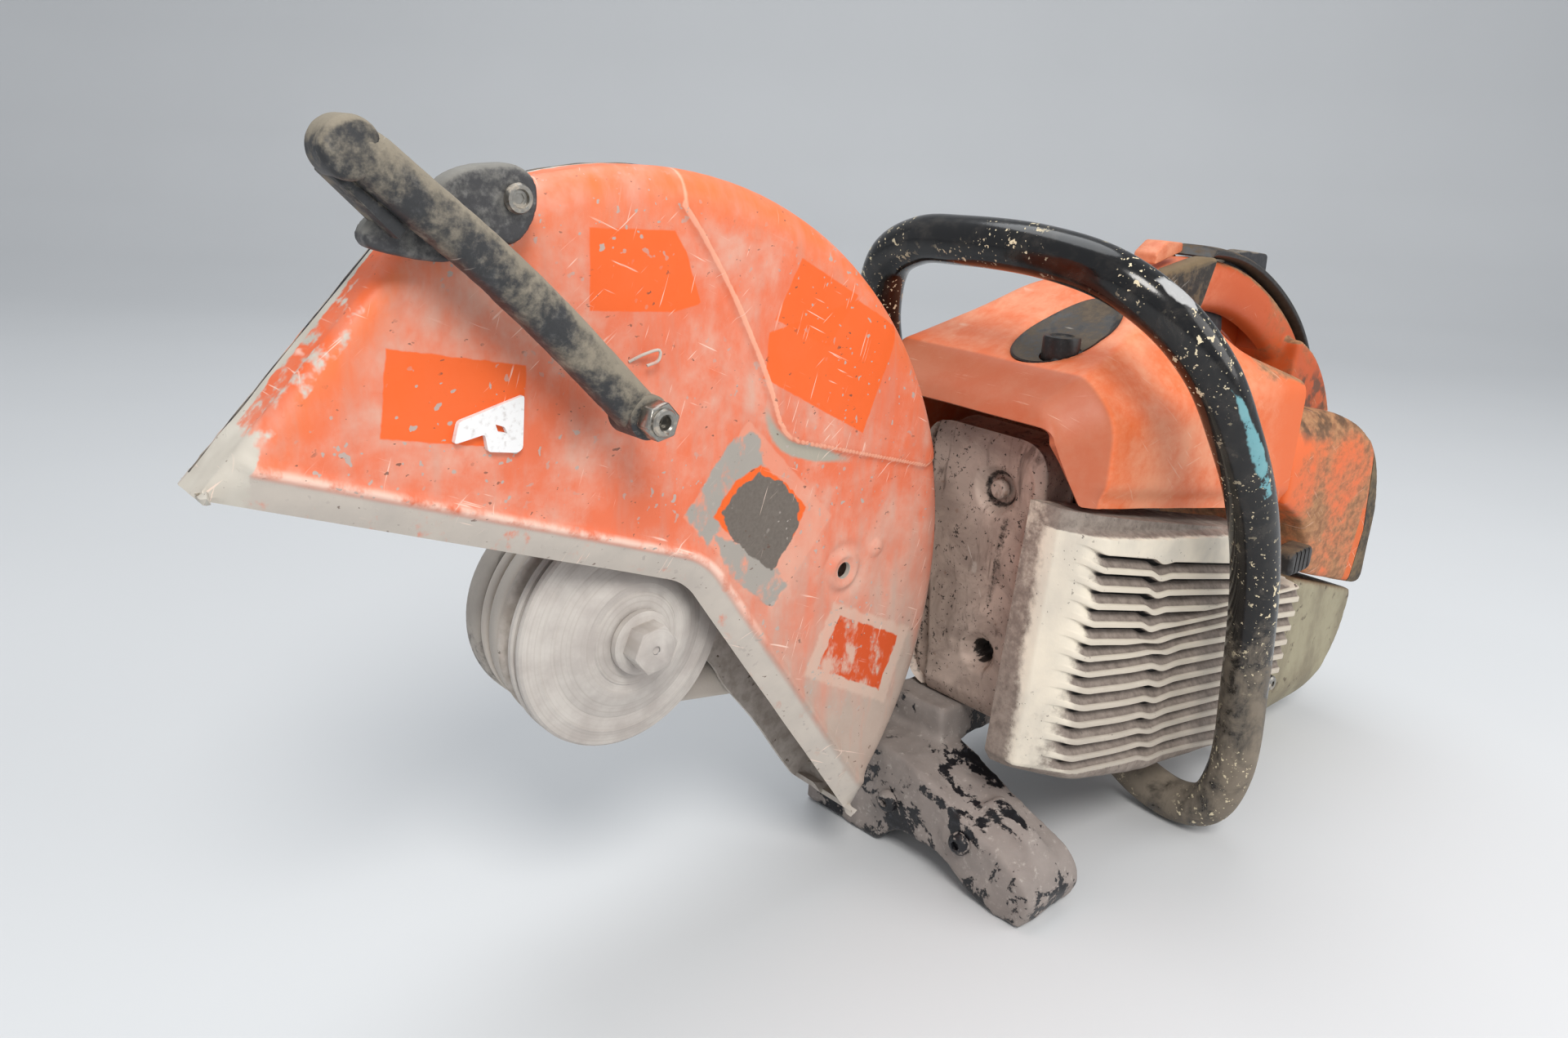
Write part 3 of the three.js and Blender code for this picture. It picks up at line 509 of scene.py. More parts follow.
def faded_paint():
    """The wheel guard's orange paint: chalky, scratched, greyed low down, with label ghosts."""
    f = Finish("guard_paint", 0.62)
    x, z = f.part("X"), f.part("Z")
    fresh = tint(240, 118, 56)
    faded = tint(226, 112, 74)
    chalk = tint(220, 168, 148)
    rub = f.noise(46, 5.0, roughness=0.62, twist=0.4)
    fine = f.noise(9, 4.0, (1.0, 1.0, 1.6), roughness=0.65, shift=3.0)
    colour = f.mix(faded, chalk, f.step(f.plus(rub, f.times(fine, 0.4)), 0.56, 1.02))
    radius = f.vector("LENGTH", f.vector("MULTIPLY", f.at, (1, 0, 1)))
    crown = f.all_of(f.step(radius, 158, 186), f.step(z, 60, 130), f.step(rub, 0.65, 0.4))
    colour = f.mix(colour, fresh, f.times(crown, 0.75))
    strip = f.all_of(f.step(f.tagged("band"), 0.3, 0.7), f.step(x, -84, -104), f.step(rub, 0.72, 0.5))
    colour = f.mix(colour, tint(228, 100, 52), f.times(strip, 0.8))
    streaks = f.noise(30, 4.0, (0.35, 1.0, 1.8), shift=11.0)
    low_dust = f.step(z, 60, -95)
    rear_dust = f.all_of(f.step(x, 70, 165), f.step(z, 60, -60))
    veil = f.plus(f.times(low_dust, 0.9), f.times(rear_dust, 0.25))
    veil = f.plus(veil, f.times(f.minus(streaks, 0.5), 1.3), clamp=True)
    greyed = f.mix(tint(190, 178, 165), tint(163, 150, 138), f.noise(12, 4.0, shift=5.0))
    colour = f.mix(colour, greyed, f.times(veil, 0.92))
    patches = [
        ([(-31, 170), (9, 168), (12, 160), (23, 144), (18, 140), (6, 138), (-31, 141)], 0.3),
        ([(69, 156), (103, 139), (87, 118), (56, 132)], 0.5),
        ([(53, 127), (103, 137), (131, 123), (112, 77), (52, 108)], 0.5),
        ([(-107, 134), (-57, 124), (-60, 94), (-111, 105)], 0.8),
    ]
    flecks = f.step(f.noise(3.2, 2.0, shift=21.0), 0.66, 0.7)
    for corners, ragged in patches:
        mark = f.inside(corners, 0.4, ragged)
        colour = f.mix(colour, tint(238, 98, 26), f.times(mark, 0.95))
    low_patch = f.inside([(108, -12), (150, -33), (139, -60), (95, -36)], 0.5, 1.6, 6.0)
    frame_patch = f.inside([(103, -4), (158, -31), (144, -69), (86, -37)], 1.2, 2.0)
    colour = f.mix(colour, tint(214, 186, 168), f.times(frame_patch, 0.55))
    colour = f.mix(colour, tint(206, 78, 24), f.all_of(low_patch, f.step(fine, 0.3, 0.5)))
    rim = f.inside([(46, 91), (98, 40), (64, 2), (13, 55)], 0.6, 0.8)
    torn = f.inside([(38, 84), (50, 86), (56, 70), (26, 40), (14, 56)], 0.8, 2.6)
    torn_low = f.inside([(30, 44), (58, 30), (72, 12), (64, 3), (40, 22)], 0.8, 2.6)
    colour = f.mix(colour, tint(226, 158, 134), f.times(rim, 0.55))
    colour = f.mix(
        colour, tint(160, 154, 146), f.all_of(f.any_of(torn, torn_low), f.step(fine, 0.25, 0.45))
    )
    bright = f.inside([(40, 66), (54, 71), (68, 60), (82, 47), (72, 30), (40, 40), (29, 52)], 0.5, 1.6)
    colour = f.mix(colour, tint(236, 98, 26), bright)
    felt_pad = f.inside(
        [(53, 67), (66, 61), (77, 50), (77, 38), (63, 20), (40, 40), (34, 53), (43, 63)], 0.4, 2.2
    )
    colour = f.mix(colour, f.mix(tint(92, 84, 77), tint(116, 108, 100), f.noise(1.4, 2.0)), felt_pad)
    lip = f.step(f.tagged("edge"), 12.5, 9.5)
    ridge_highlight = f.all_of(f.step(f.tagged("edge"), 15.5, 12.8), f.step(f.tagged("edge"), 10.4, 12.4))
    lip_colour = f.mix(tint(178, 170, 162), tint(206, 196, 184), f.noise(14, 4.0, shift=8.0))
    colour = f.mix(colour, lip_colour, f.times(lip, f.step(fine, 0.2, 0.42)))
    # Painted highlight: a pale pink line along the ridge above the rolled lower band.
    colour = f.mix(
        colour, tint(246, 206, 188), f.all_of(ridge_highlight, f.step(z, -30, 30), f.step(fine, 0.3, 0.6))
    )
    silt = f.step(f.plus(f.tagged("foot"), f.times(fine, 0.5)), 0.55, 0.95)
    colour = f.mix(colour, tint(166, 160, 146), silt)
    bare = f.step(f.plus(f.tagged("crest"), f.times(fine, 0.45)), 0.75, 1.0)
    colour = f.mix(colour, tint(250, 178, 148), f.times(bare, 0.8))
    worn = f.step(f.plus(f.tagged("worn"), f.times(f.noise(7, 3.0, shift=31), 0.8)), 0.72, 0.86)
    colour = f.mix(
        colour, f.mix(tint(168, 160, 148), tint(222, 216, 204), f.noise(16, 2.0, shift=2)), worn
    )
    marks = f.any_of(
        f.scratches(38, shift=1.0), f.scratches(-24, 30, shift=5.0), f.scratches(72, 22, shift=9.0)
    )
    sparse = f.step(f.noise(34, 1.0, shift=40), 0.46, 0.62)
    colour = f.mix(colour, tint(250, 222, 206), f.all_of(marks, sparse, 0.6))
    chips = f.all_of(
        f.step(f.noise(3.4, 1.5, shift=17), 0.67, 0.69), f.step(f.noise(40, 1.0, shift=44), 0.4, 0.6)
    )
    colour = f.mix(colour, tint(176, 166, 158), f.times(chips, 0.9))
    soot = f.all_of(f.step(f.noise(2.4, 2.0, (1.6, 1, 1), shift=71), 0.7, 0.72), f.step(fine, 0.4, 0.6))
    colour = f.mix(colour, tint(96, 70, 58), f.times(soot, 0.8))
    f.bump(f.plus(f.times(fine, 0.5), rub), 0.5, 0.35)
    f.bump(flecks, 0.12, 0.4)
    gloss = f.step(crown, 0.0, 1.0, 0.66, 0.45)
    return f.done(colour, gloss)


def dusty_shell():
    """The far guard shell and other painted steel under thick grey dust."""
    f = Finish("guard_dust", 0.8)
    blotch = f.noise(30, 5.0, roughness=0.6)
    fine = f.noise(6, 4.0, shift=4.0)
    paint_left = f.all_of(f.step(blotch, 0.55, 0.68), f.step(f.part("Z"), -20, 80))
    colour = f.mix(tint(162, 152, 142), tint(192, 184, 176), f.step(fine, 0.3, 0.7))
    colour = f.mix(colour, tint(222, 142, 108), f.times(paint_left, 0.85))
    colour = f.mix(colour, tint(96, 84, 74), f.step(f.noise(4, 3.0, shift=9.0), 0.66, 0.74))
    f.bump(fine, 0.5, 0.5)
    return f.done(colour, 0.85)


def dusty_steel(name="dusty_steel", clean=0.35):
    """Turned steel under a film of stone dust, with fine rings where it shows."""
    f = Finish(name, 0.6)
    flat = f.vector("MULTIPLY", f.at, (1, 0, 1))
    radius = f.vector("LENGTH", flat)
    rings = f.node("ShaderNodeTexNoise")
    rings.noise_dimensions = "1D"
    f.join(f.times(radius, 0.8), rings.inputs["W"])
    rings.inputs["Scale"].default_value = 1.0
    rings.inputs["Detail"].default_value = 4.0
    film = f.noise(18, 5.0, roughness=0.62)
    fine = f.noise(3.0, 3.0, shift=6.0)
    dust = f.mix(tint(178, 170, 164), tint(200, 194, 187), f.step(film, 0.3, 0.7))
    dust = f.mix(dust, tint(168, 159, 150), f.times(f.step(rings.outputs[0], 0.5, 0.72), 0.35))
    metal = f.mix(tint(126, 124, 122), tint(172, 170, 168), rings.outputs[0])
    bare = f.plus(f.edges(0.54, 0.62), f.times(f.minus(film, 0.5), 1.4))
    bare = f.step(bare, 0.75 - clean * 0.5, 1.05 - clean * 0.5)
    colour = f.mix(dust, metal, bare)
    f.bump(rings.outputs[0], 0.12, 0.5)
    f.bump(fine, 0.2, 0.3)
    return f.done(colour, f.step(bare, 0, 1, 0.85, 0.42), f.step(bare, 0, 1, 0.05, 0.8))


def dusty_plastic(name, base, dust, amount=0.5, gloss=0.55, grain=0.25):
    """Moulded plastic or rubber with dust in its grain, more on top, rubbed off its edges."""
    f = Finish(name, gloss)
    cloud = f.noise(24, 5.0, roughness=0.65, twist=0.3)
    fine = f.noise(3.6, 4.0, roughness=0.7, shift=7.0)
    lie = f.plus(f.times(f.upward(-0.2, 1.0), 0.35), f.times(fine, 0.45))
    lie = f.plus(lie, cloud)
    cover = f.step(lie, 1.32 - amount, 1.62 - amount)
    cover = f.minus(cover, f.times(f.edges(), 0.45), clamp=True)
    shade = f.mix(
        base, tuple(min(1.0, c * 1.9 + 0.02) for c in base[:3]) + (1.0,), f.step(fine, 0.45, 0.8)
    )
    tone = f.mix(dust, tuple(c * 0.62 for c in dust[:3]) + (1.0,), f.noise(11, 4.0, shift=13.0))
    colour = f.mix(shade, tone, f.times(cover, 0.9))
    pale = f.all_of(f.scratches(30, 20, shift=2.0), f.step(f.noise(28, 1.0, shift=4), 0.5, 0.6))
    colour = f.mix(colour, tint(188, 182, 172), f.times(pale, 0.5))
    f.bump(fine, grain, 0.6)
    f.bump(f.noise(0.9, 2.0, shift=2.0), 0.08, 0.5)
    return f.done(colour, f.step(cover, 0, 1, gloss, 0.92))


def chipped_gloss():
    """Gloss black enamel on the handle tube, with chips to cream primer, dust, a blue smear and a painted
    highlight on the near top of the bend.
    """
    f = Finish("gloss_black", 0.22)
    x, y, z = f.part("X"), f.part("Y"), f.part("Z")
    spots = f.step(f.noise(5.0, 3.0, roughness=0.6, shift=5.0), 0.63, 0.645)
    flecks = f.step(f.noise(1.9, 2.0, shift=8.0), 0.67, 0.69)
    zone = f.step(f.noise(40, 2.0, shift=3.0), 0.42, 0.6)
    chips = f.any_of(f.all_of(spots, zone), f.all_of(flecks, f.step(zone, 0.1, 0.9)))
    low = f.step(z, 40, -90)
    film = f.noise(14, 5.0, roughness=0.7, twist=0.5, shift=2.0)
    streak = f.noise(16, 4.0, (1, 1, 3.5), shift=9.0)
    dust = f.plus(f.times(low, 0.34), f.times(streak, 0.5))
    dust = f.plus(dust, f.times(film, 0.5))
    dust = f.plus(dust, f.times(f.upward(0.5, 1.0), 0.06))
    dust = f.step(dust, 0.68, 0.88)
    black = f.mix(tint(8, 8, 10), tint(44, 41, 38), f.step(film, 0.45, 0.7))
    colour = f.mix(
        black, f.mix(tint(138, 127, 112), tint(112, 102, 90), f.noise(7, 4.0, shift=3.0)), dust
    )
    colour = f.mix(colour, tint(222, 208, 176), chips)
    # Painted highlight: a neutral grey glint on the near top of the tube's bend.
    patch = f.inside([(203, 151), (209, 153), (219, 144), (216, 139), (207, 143)], 0.6, 1.8, 6.0)
    colour = f.mix(colour, tint(176, 176, 176), f.all_of(patch, f.step(y, -84, -90)))
    smear = f.inside([(231, 104), (236, 101), (257, 76), (272, 52), (268, 50), (250, 74)], 0.6, 2.2, 7.0)
    smear = f.all_of(smear, f.step(y, -124, -131), f.step(film, 0.4, 0.46))
    colour = f.mix(colour, f.mix(tint(84, 150, 162), tint(132, 176, 180), film), smear)
    cover = f.any_of(chips, dust, smear)
    f.bump(chips, 0.2, -0.6)
    f.bump(f.noise(2.2, 2.0, shift=12.0), 0.08, 0.4)
    return f.done(colour, f.step(cover, 0, 1, 0.16, 0.8), coat=0.0)


def mud_plastic():
    """Black plastic mostly covered by dried grey-brown mud."""
    f = Finish("foot_plastic", 0.5)
    cloud = f.noise(26, 5.0, roughness=0.68, twist=0.6, shift=1.0)
    fine = f.noise(4.0, 4.0, roughness=0.7)
    cover = f.plus(cloud, f.times(f.minus(fine, 0.5), 0.35))
    cover = f.plus(cover, f.times(f.upward(-0.3, 0.9), 0.09))
    cover = f.step(cover, 0.475, 0.51)
    mud = f.mix(tint(160, 150, 144), tint(126, 117, 112), f.noise(13, 4.0, shift=6.0))
    mud = f.mix(mud, tint(184, 176, 168), f.step(fine, 0.55, 0.8))
    black = f.mix(tint(24, 24, 28), tint(60, 62, 70), f.step(fine, 0.5, 0.8))
    f.bump(cover, 0.8, 0.7)
    f.bump(fine, 0.5, 0.6)
    return f.done(f.mix(black, mud, cover), f.step(cover, 0, 1, 0.4, 0.92))


def hot_steel():
    """The muffler shield: brown-grey, heat-stained and speckled with soot and rust, with painted shade in its
    hollows, its empty screw hole and its screw wells.
    """
    f = Finish("exhaust_steel", 0.72, 0.15)
    cloud = f.noise(26, 5.0, roughness=0.62, twist=0.6)
    fine = f.noise(2.6, 4.0, roughness=0.7, shift=3.0)
    smear = f.noise(20, 4.0, (1, 0.5, 1.8), twist=1.2, shift=8.0)
    colour = f.mix(tint(166, 146, 134), tint(204, 182, 168), f.step(cloud, 0.35, 0.65))
    colour = f.mix(colour, tint(96, 80, 72), f.times(f.step(smear, 0.56, 0.7), 0.7))
    left = f.step(f.part("Y"), 4, 10)
    speckle = f.step(f.plus(fine, f.times(left, 0.09)), 0.6, 0.64)
    colour = f.mix(colour, tint(48, 42, 40), f.times(speckle, 0.9))
    rust = f.step(f.noise(7, 4.0, shift=14.0), 0.64, 0.74)
    colour = f.mix(colour, tint(140, 92, 62), f.times(rust, 0.45))
    # Soot and painted shade: the tag read here darkens the empty screw hole's pit and the screw-well walls as
    # painted shade, and a streak below the upper well as soot.
    soot_and_shade_mark = f.plus(f.tagged("soot_and_shade"), f.times(f.minus(fine, 0.5), 0.7))
    colour = f.mix(colour, tint(26, 22, 20), f.times(f.step(soot_and_shade_mark, 0.45, 0.75), 0.92))
    colour = f.mix(colour, tint(212, 198, 186), f.times(f.edges(0.53, 0.6), 0.7))
    # Painted shade: the hollows are darkened to near black.
    colour = f.mix(colour, tint(34, 29, 27), f.times(f.hollows(0.47, 0.41), 0.85))
    f.bump(fine, 0.4, 0.6)
    f.bump(cloud, 0.8, 0.4)
    return f.done(colour, f.step(speckle, 0, 1, 0.66, 0.9))


def cream_cover():
    """Cream plastic of the fan cover, with grey-brown dust settled between the louvres and near-black painted
    shade in the louvre gaps.
    """
    f = Finish("cream_plastic", 0.62)
    x, z = f.part("X"), f.part("Z")
    cloud = f.noise(34, 4.0, twist=0.4)
    fine = f.noise(5, 4.0, roughness=0.68, shift=3.0)
    cream = f.mix(tint(228, 218, 200), tint(206, 198, 184), f.step(cloud, 0.35, 0.7))
    slip = f.plus(z, f.times(x, -BODY_SLOPE))
    low = f.step(slip, 70, -90)
    dust = f.mix(tint(150, 138, 128), tint(116, 104, 96), f.step(fine, 0.3, 0.75))
    lie = f.plus(f.tagged("dust"), f.times(f.minus(fine, 0.5), 0.6))
    lie = f.plus(lie, f.times(low, 0.35))
    lie = f.plus(lie, f.times(f.minus(cloud, 0.5), 0.7))
    colour = f.mix(cream, dust, f.step(lie, 0.28, 0.72))
    lip = f.times(f.step(f.tagged("lip"), 0.35, 0.65), f.step(fine, 0.2, 0.4, 0.55, 0.92))
    lip_colour = f.mix(tint(212, 202, 185), tint(178, 168, 156), f.step(slip, 60, -80))
    colour = f.mix(colour, lip_colour, lip)
    specks = f.all_of(f.step(f.noise(2.2, 2.0, shift=9.0), 0.68, 0.7), f.step(cloud, 0.45, 0.6))
    colour = f.mix(colour, tint(104, 96, 88), f.times(specks, 0.8))
    # Painted shade: the louvre gaps, marked by the tag read here, are coloured near black.
    colour = f.mix(colour, tint(30, 27, 25), f.step(f.tagged("painted_slot_shade"), 0.3, 0.75))
    f.bump(fine, 0.35, 0.5)
    return f.done(colour, 0.75)


def body_orange(name="orange_plastic", base=tint(228, 106, 48), brown=0.5):
    """The engine's orange plastic, sun-bleached on its faces and brown with dust where it lies."""
    f = Finish(name, 0.5)
    x, z = f.part("X"), f.part("Z")
    cloud = f.noise(40, 5.0, roughness=0.6, twist=0.5)
    fine = f.noise(5, 4.0, (1.5, 1.0, 1.0), roughness=0.68, shift=3.0)
    bleach = f.step(f.plus(cloud, f.times(fine, 0.4)), 0.5, 0.92)
    colour = f.mix(base, tint(236, 158, 120), f.all_of(bleach, f.step(x, 400, 330), 0.85))
    lie = f.times(f.upward(0.2, 1.0), f.step(x, 300, 430, 0.0, 1.25))
    lie = f.plus(lie, f.times(f.step(x, 385, 450), 0.6))
    lie = f.plus(lie, f.times(f.minus(cloud, 0.5), 1.3))
    lie = f.plus(lie, f.times(f.minus(fine, 0.5), 0.7))
    dust = f.mix(tint(166, 130, 92), tint(118, 92, 66), f.step(fine, 0.35, 0.7))
    colour = f.mix(colour, dust, f.times(f.step(lie, 0.75 - brown, 1.25 - brown), 0.88))
    dirt = f.step(f.plus(f.hollows(0.48, 0.42), f.times(fine, 0.4)), 0.6, 0.95)
    colour = f.mix(colour, tint(112, 84, 60), f.times(dirt, 0.7))
    clean = f.inside([(516, -14), (540, -14), (534, -70), (508, -62)], 1.0, 1.0)
    colour = f.mix(colour, tint(224, 104, 44), f.all_of(clean, f.step(f.part("Y"), -60, -80), 0.85))
    soot = f.inside([(420, 44), (520, 44), (520, 70), (420, 74)], 6.0, 8.0, 16.0)
    soot = f.all_of(
        soot, f.step(f.noise(12, 4.0, (1, 1, 1), shift=6), 0.42, 0.56), f.step(f.part("Y"), -30, -50)
    )
    colour = f.mix(colour, tint(84, 62, 44), f.times(soot, 0.85))
    # Painted shade: the hood's front chamfer band, tagged lip, is coloured darker and browner.
    lip = f.step(f.tagged("lip"), 0.2, 0.8)
    colour = f.mix(colour, tint(176, 98, 70), f.times(lip, 0.75))
    marks = f.any_of(f.scratches(12, 34, shift=4.0), f.scratches(-40, 26, shift=7.0))
    colour = f.mix(colour, tint(236, 196, 172), f.all_of(marks, f.step(cloud, 0.4, 0.6), 0.45))
    f.bump(fine, 0.25, 0.5)
    return f.done(colour, f.step(lie, 0.3, 1.0, 0.5, 0.85))


def tank_plastic():
    """Translucent beige tank, brown with dust."""
    f = Finish("tank_plastic", 0.5)
    cloud = f.noise(26, 5.0, (1, 1, 1.8), roughness=0.62)
    fine = f.noise(4, 4.0, shift=2.0)
    colour = f.mix(tint(158, 150, 124), tint(128, 118, 96), f.step(cloud, 0.35, 0.68))
    lie = f.plus(f.upward(-0.1, 1.0), f.minus(fine, 0.4))
    colour = f.mix(colour, tint(122, 102, 78), f.times(f.step(lie, 0.1, 0.9), 0.7))
    colour = f.mix(colour, tint(92, 78, 60), f.step(f.noise(7, 4.0, shift=8.0), 0.6, 0.72))
    f.bump(fine, 0.3, 0.5)
    return f.done(colour, 0.6)


def cast_alloy(name, tone=tint(150, 144, 138), dust=0.6):
    """Cast light alloy, grainy, with dust in its hollows."""
    f = Finish(name, 0.55, 0.6)
    cloud = f.noise(22, 4.0)
    grain = f.noise(1.3, 3.0, roughness=0.7, shift=5.0)
    cover = f.step(f.plus(cloud, f.times(grain, 0.3)), 0.95 - dust, 1.15 - dust)
    darker = tuple(c * 0.6 for c in tone[:3]) + (1.0,)
    colour = f.mix(f.mix(tone, darker, grain), tint(192, 183, 173), cover)
    f.bump(grain, 0.2, 0.7)
    return f.done(colour, f.step(cover, 0, 1, 0.5, 0.9), f.step(cover, 0, 1, 0.7, 0.05))


def bright_steel(name="steel"):
    """Plated nuts and screws, dull in places with dust and small rust spots."""
    f = Finish(name, 0.35, 0.85)
    film = f.noise(9, 5.0, roughness=0.65)
    fine = f.noise(1.6, 3.0, shift=3.0)
    dust = f.step(f.plus(film, f.times(fine, 0.4)), 0.66, 0.86)
    colour = f.mix(tint(168, 166, 160), tint(122, 118, 112), fine)
    colour = f.mix(colour, tint(178, 168, 154), dust)
    rust = f.step(f.noise(4, 3.0, shift=7.0), 0.66, 0.74)
    colour = f.mix(colour, tint(120, 78, 48), f.times(rust, 0.6))
    f.bump(fine, 0.1, 0.5)
    return f.done(colour, f.step(dust, 0, 1, 0.32, 0.85), f.step(dust, 0, 1, 0.9, 0.1))


def worn_label():
    """What is left of a torn paper label."""
    f = Finish("torn_label", 0.7)
    fine = f.noise(2.0, 3.0)
    colour = f.mix(tint(238, 238, 238), tint(206, 202, 200), f.step(fine, 0.5, 0.8))
    f.bump(fine, 0.1, 0.5)
    return f.done(colour, 0.7)


def felt():
    """Pleated filter felt, grey with dust."""
    f = Finish("filter_felt", 0.95)
    fibre = f.noise(0.8, 4.0, (3, 1, 1))
    colour = f.mix(tint(206, 198, 180), tint(150, 138, 118), f.step(f.noise(14, 4.0), 0.4, 0.7))
    f.bump(fibre, 0.3, 0.8)
    return f.done(colour, 0.95)


guard_paint = faded_paint()
guard_dust = dusty_shell()
steel = bright_steel()
flange_steel = dusty_steel()
black_plastic = dusty_plastic("black_plastic", tint(38, 38, 42), tint(146, 134, 118), 0.48, 0.5)
lever_rubber = dusty_plastic("lever_rubber", tint(44, 45, 47), tint(160, 150, 132), 0.68, 0.5, 0.5)
insert_plastic = dusty_plastic("insert_plastic", tint(30, 28, 28), tint(112, 98, 82), 0.4, 0.45)
bracket_plastic = dusty_plastic("bracket_plastic", tint(58, 58, 60), tint(150, 148, 142), 0.62, 0.5)
grip_rubber = dusty_plastic("grip_rubber", tint(32, 29, 28), tint(112, 92, 68), 0.42, 0.42, 0.3)
roof_plastic = dusty_plastic("roof_plastic", tint(44, 39, 34), tint(136, 116, 88), 0.72, 0.7)
rubber = dusty_plastic("rubber", tint(26, 26, 27), tint(134, 124, 112), 0.4, 0.7)
gloss_black = chipped_gloss()
foot_plastic = mud_plastic()
exhaust_steel = hot_steel()
cream_plastic = cream_cover()
orange_plastic = body_orange()
handle_orange = body_orange("handle_orange", tint(196, 84, 32), 0.3)
tank_material = tank_plastic()
alloy = cast_alloy("light_alloy")
arm_alloy = cast_alloy("cast_alloy", tint(168, 161, 154), 0.85)
# Dark alloy for the cylinder: soot and painted shade of the cavity under the hood.
soot_and_shade_alloy = cast_alloy("soot_and_shade_alloy", tint(58, 54, 50), 0.35)
label_paper = worn_label()
filter_felt = felt()


# Wheel guard ----------------------------------------------------------------------------

GUARD_R = 187
GUARD_MIDDLE = np.array([-8.0, 4.0])
GUARD_NEAR = -27
GUARD_SEAM = -2
GUARD_FAR = 16
FAR_STEP = 6
HUB_CLEAR = 29
FRONT_EDGE, REAR_EDGE = math.radians(68.7), math.radians(35.6)
FACET_START, TAIL_START = math.radians(117.6), math.radians(-36.5)
LOW_TIP = (-166.8, 93)
TAIL, LOW_TAIL = (134, -128), (126, -126)


def along(*corners, spacing=1.0):
    """Closely spaced points along a broken line."""
    points = []
    for a, b in zip(corners, corners[1:]):
        steps = max(2, int(math.dist(a, b) / spacing))
        points += [np.array(a) + (np.array(b) - np.array(a)) * k / steps for k in range(steps)]
    points.append(np.array(corners[-1], dtype=float))
    return points


def arc(radius, start, end, count=60, middle=(0, 0)):
    turns = np.linspace(start, end, count)
    return [(middle[0] + radius * math.cos(t), middle[1] + radius * math.sin(t)) for t in turns]


rim_arc = arc(GUARD_R - 0.1, TAIL_START, FACET_START, middle=GUARD_MIDDLE)
outer_line = along(LOW_TAIL, TAIL, *rim_arc, LOW_TIP)
lower_line = along(LOW_TAIL, *arc(HUB_CLEAR, REAR_EDGE, FRONT_EDGE, 16), LOW_TIP)


def radius_along(line):
    line = np.array(line)
    return np.arctan2(line[:, 1], line[:, 0]), np.hypot(line[:, 0], line[:, 1])


def signed_distance(points, polygon):
    """Distance from (x, z) points to a polygon's edge, positive inside."""
    polygon = np.array(polygon, dtype=float)
    nearest = np.full(len(points), 1e9)
    inside = np.zeros(len(points), dtype=bool)
    for a, b in zip(polygon, np.roll(polygon, -1, axis=0)):
        run = b - a
        t = np.clip(((points - a) @ run) / (run @ run), 0, 1)
        nearest = np.minimum(nearest, np.linalg.norm(points - a - t[:, None] * run, axis=1))
        crosses = (a[1] > points[:, 1]) != (b[1] > points[:, 1])
        rise = b[1] - a[1] if b[1] != a[1] else 1e-9
        inside ^= crosses & (points[:, 0] < (b[0] - a[0]) * (points[:, 1] - a[1]) / rise + a[0])
    return np.where(inside, nearest, -nearest)


def edge_distance(points):
    line = np.array(lower_line)
    best = np.full(len(points), 1e9)
    for a, b in zip(line, line[1:]):
        run = b - a
        t = np.clip(((points - a) @ run) / (run @ run), 0, 1)
        best = np.minimum(best, np.linalg.norm(points - a - t[:, None] * run, axis=1))
    return best


raised_area = fillet(
    [
        (-6, 200), (-2, 189), (18, 166), (36, 139), (54, 106), (64, 80), (174, 49), (210, 39), (210, 210),
        (0, 210)
    ],
    [2, 20, 30, 40, 30, 16, 30, 4, 2, 2],
    8,
)


def guard_relief(points):
    """How far the near face lies behind the guard's outermost plane, and the marks it carries."""
    step = signed_distance(points, raised_area)
    edge = edge_distance(points)
    hole = np.hypot(points[:, 0] - 108, points[:, 1] - 11)
    stud = np.hypot(points[:, 0] - 129, points[:, 1] - 18)
    sink = 2.6 - 2.2 * smooth_step(step, -1.8, 1.6)
    sink += 5.0 * np.clip(1 - edge / 12.5, 0, 1) ** 1.4
    sink -= 1.5 * np.exp(-(((edge - 13.2) / 1.9) ** 2))
    sink -= 1.3 * np.exp(-(((hole - 7.6) / 1.7) ** 2))
    sink += 0.8 * np.exp(-(((hole - 12) / 2.2) ** 2))
    sink -= 1.8 * np.clip(1 - (stud / 4.6) ** 2, 0, 1) ** 0.7
    foot = np.exp(-(((step + 3.2) / 3.4) ** 2)) * smooth_step(points[:, 1], 150, 88)
    bend = np.exp(-((points[:, 0] - 78) ** 2 + (points[:, 1] - 74) ** 2) / 620)
    foot = foot * (0.25 + 0.95 * bend)
    crest = np.exp(-(((step - 0.9) / 1.3) ** 2))
    return sink, edge, foot, crest


def guard_angles(count):
    outer_angle, _ = radius_along(outer_line)
    ends = (outer_angle[0] + 0.0008, outer_angle[-1] - 0.0008)
    return np.linspace(*ends, count)


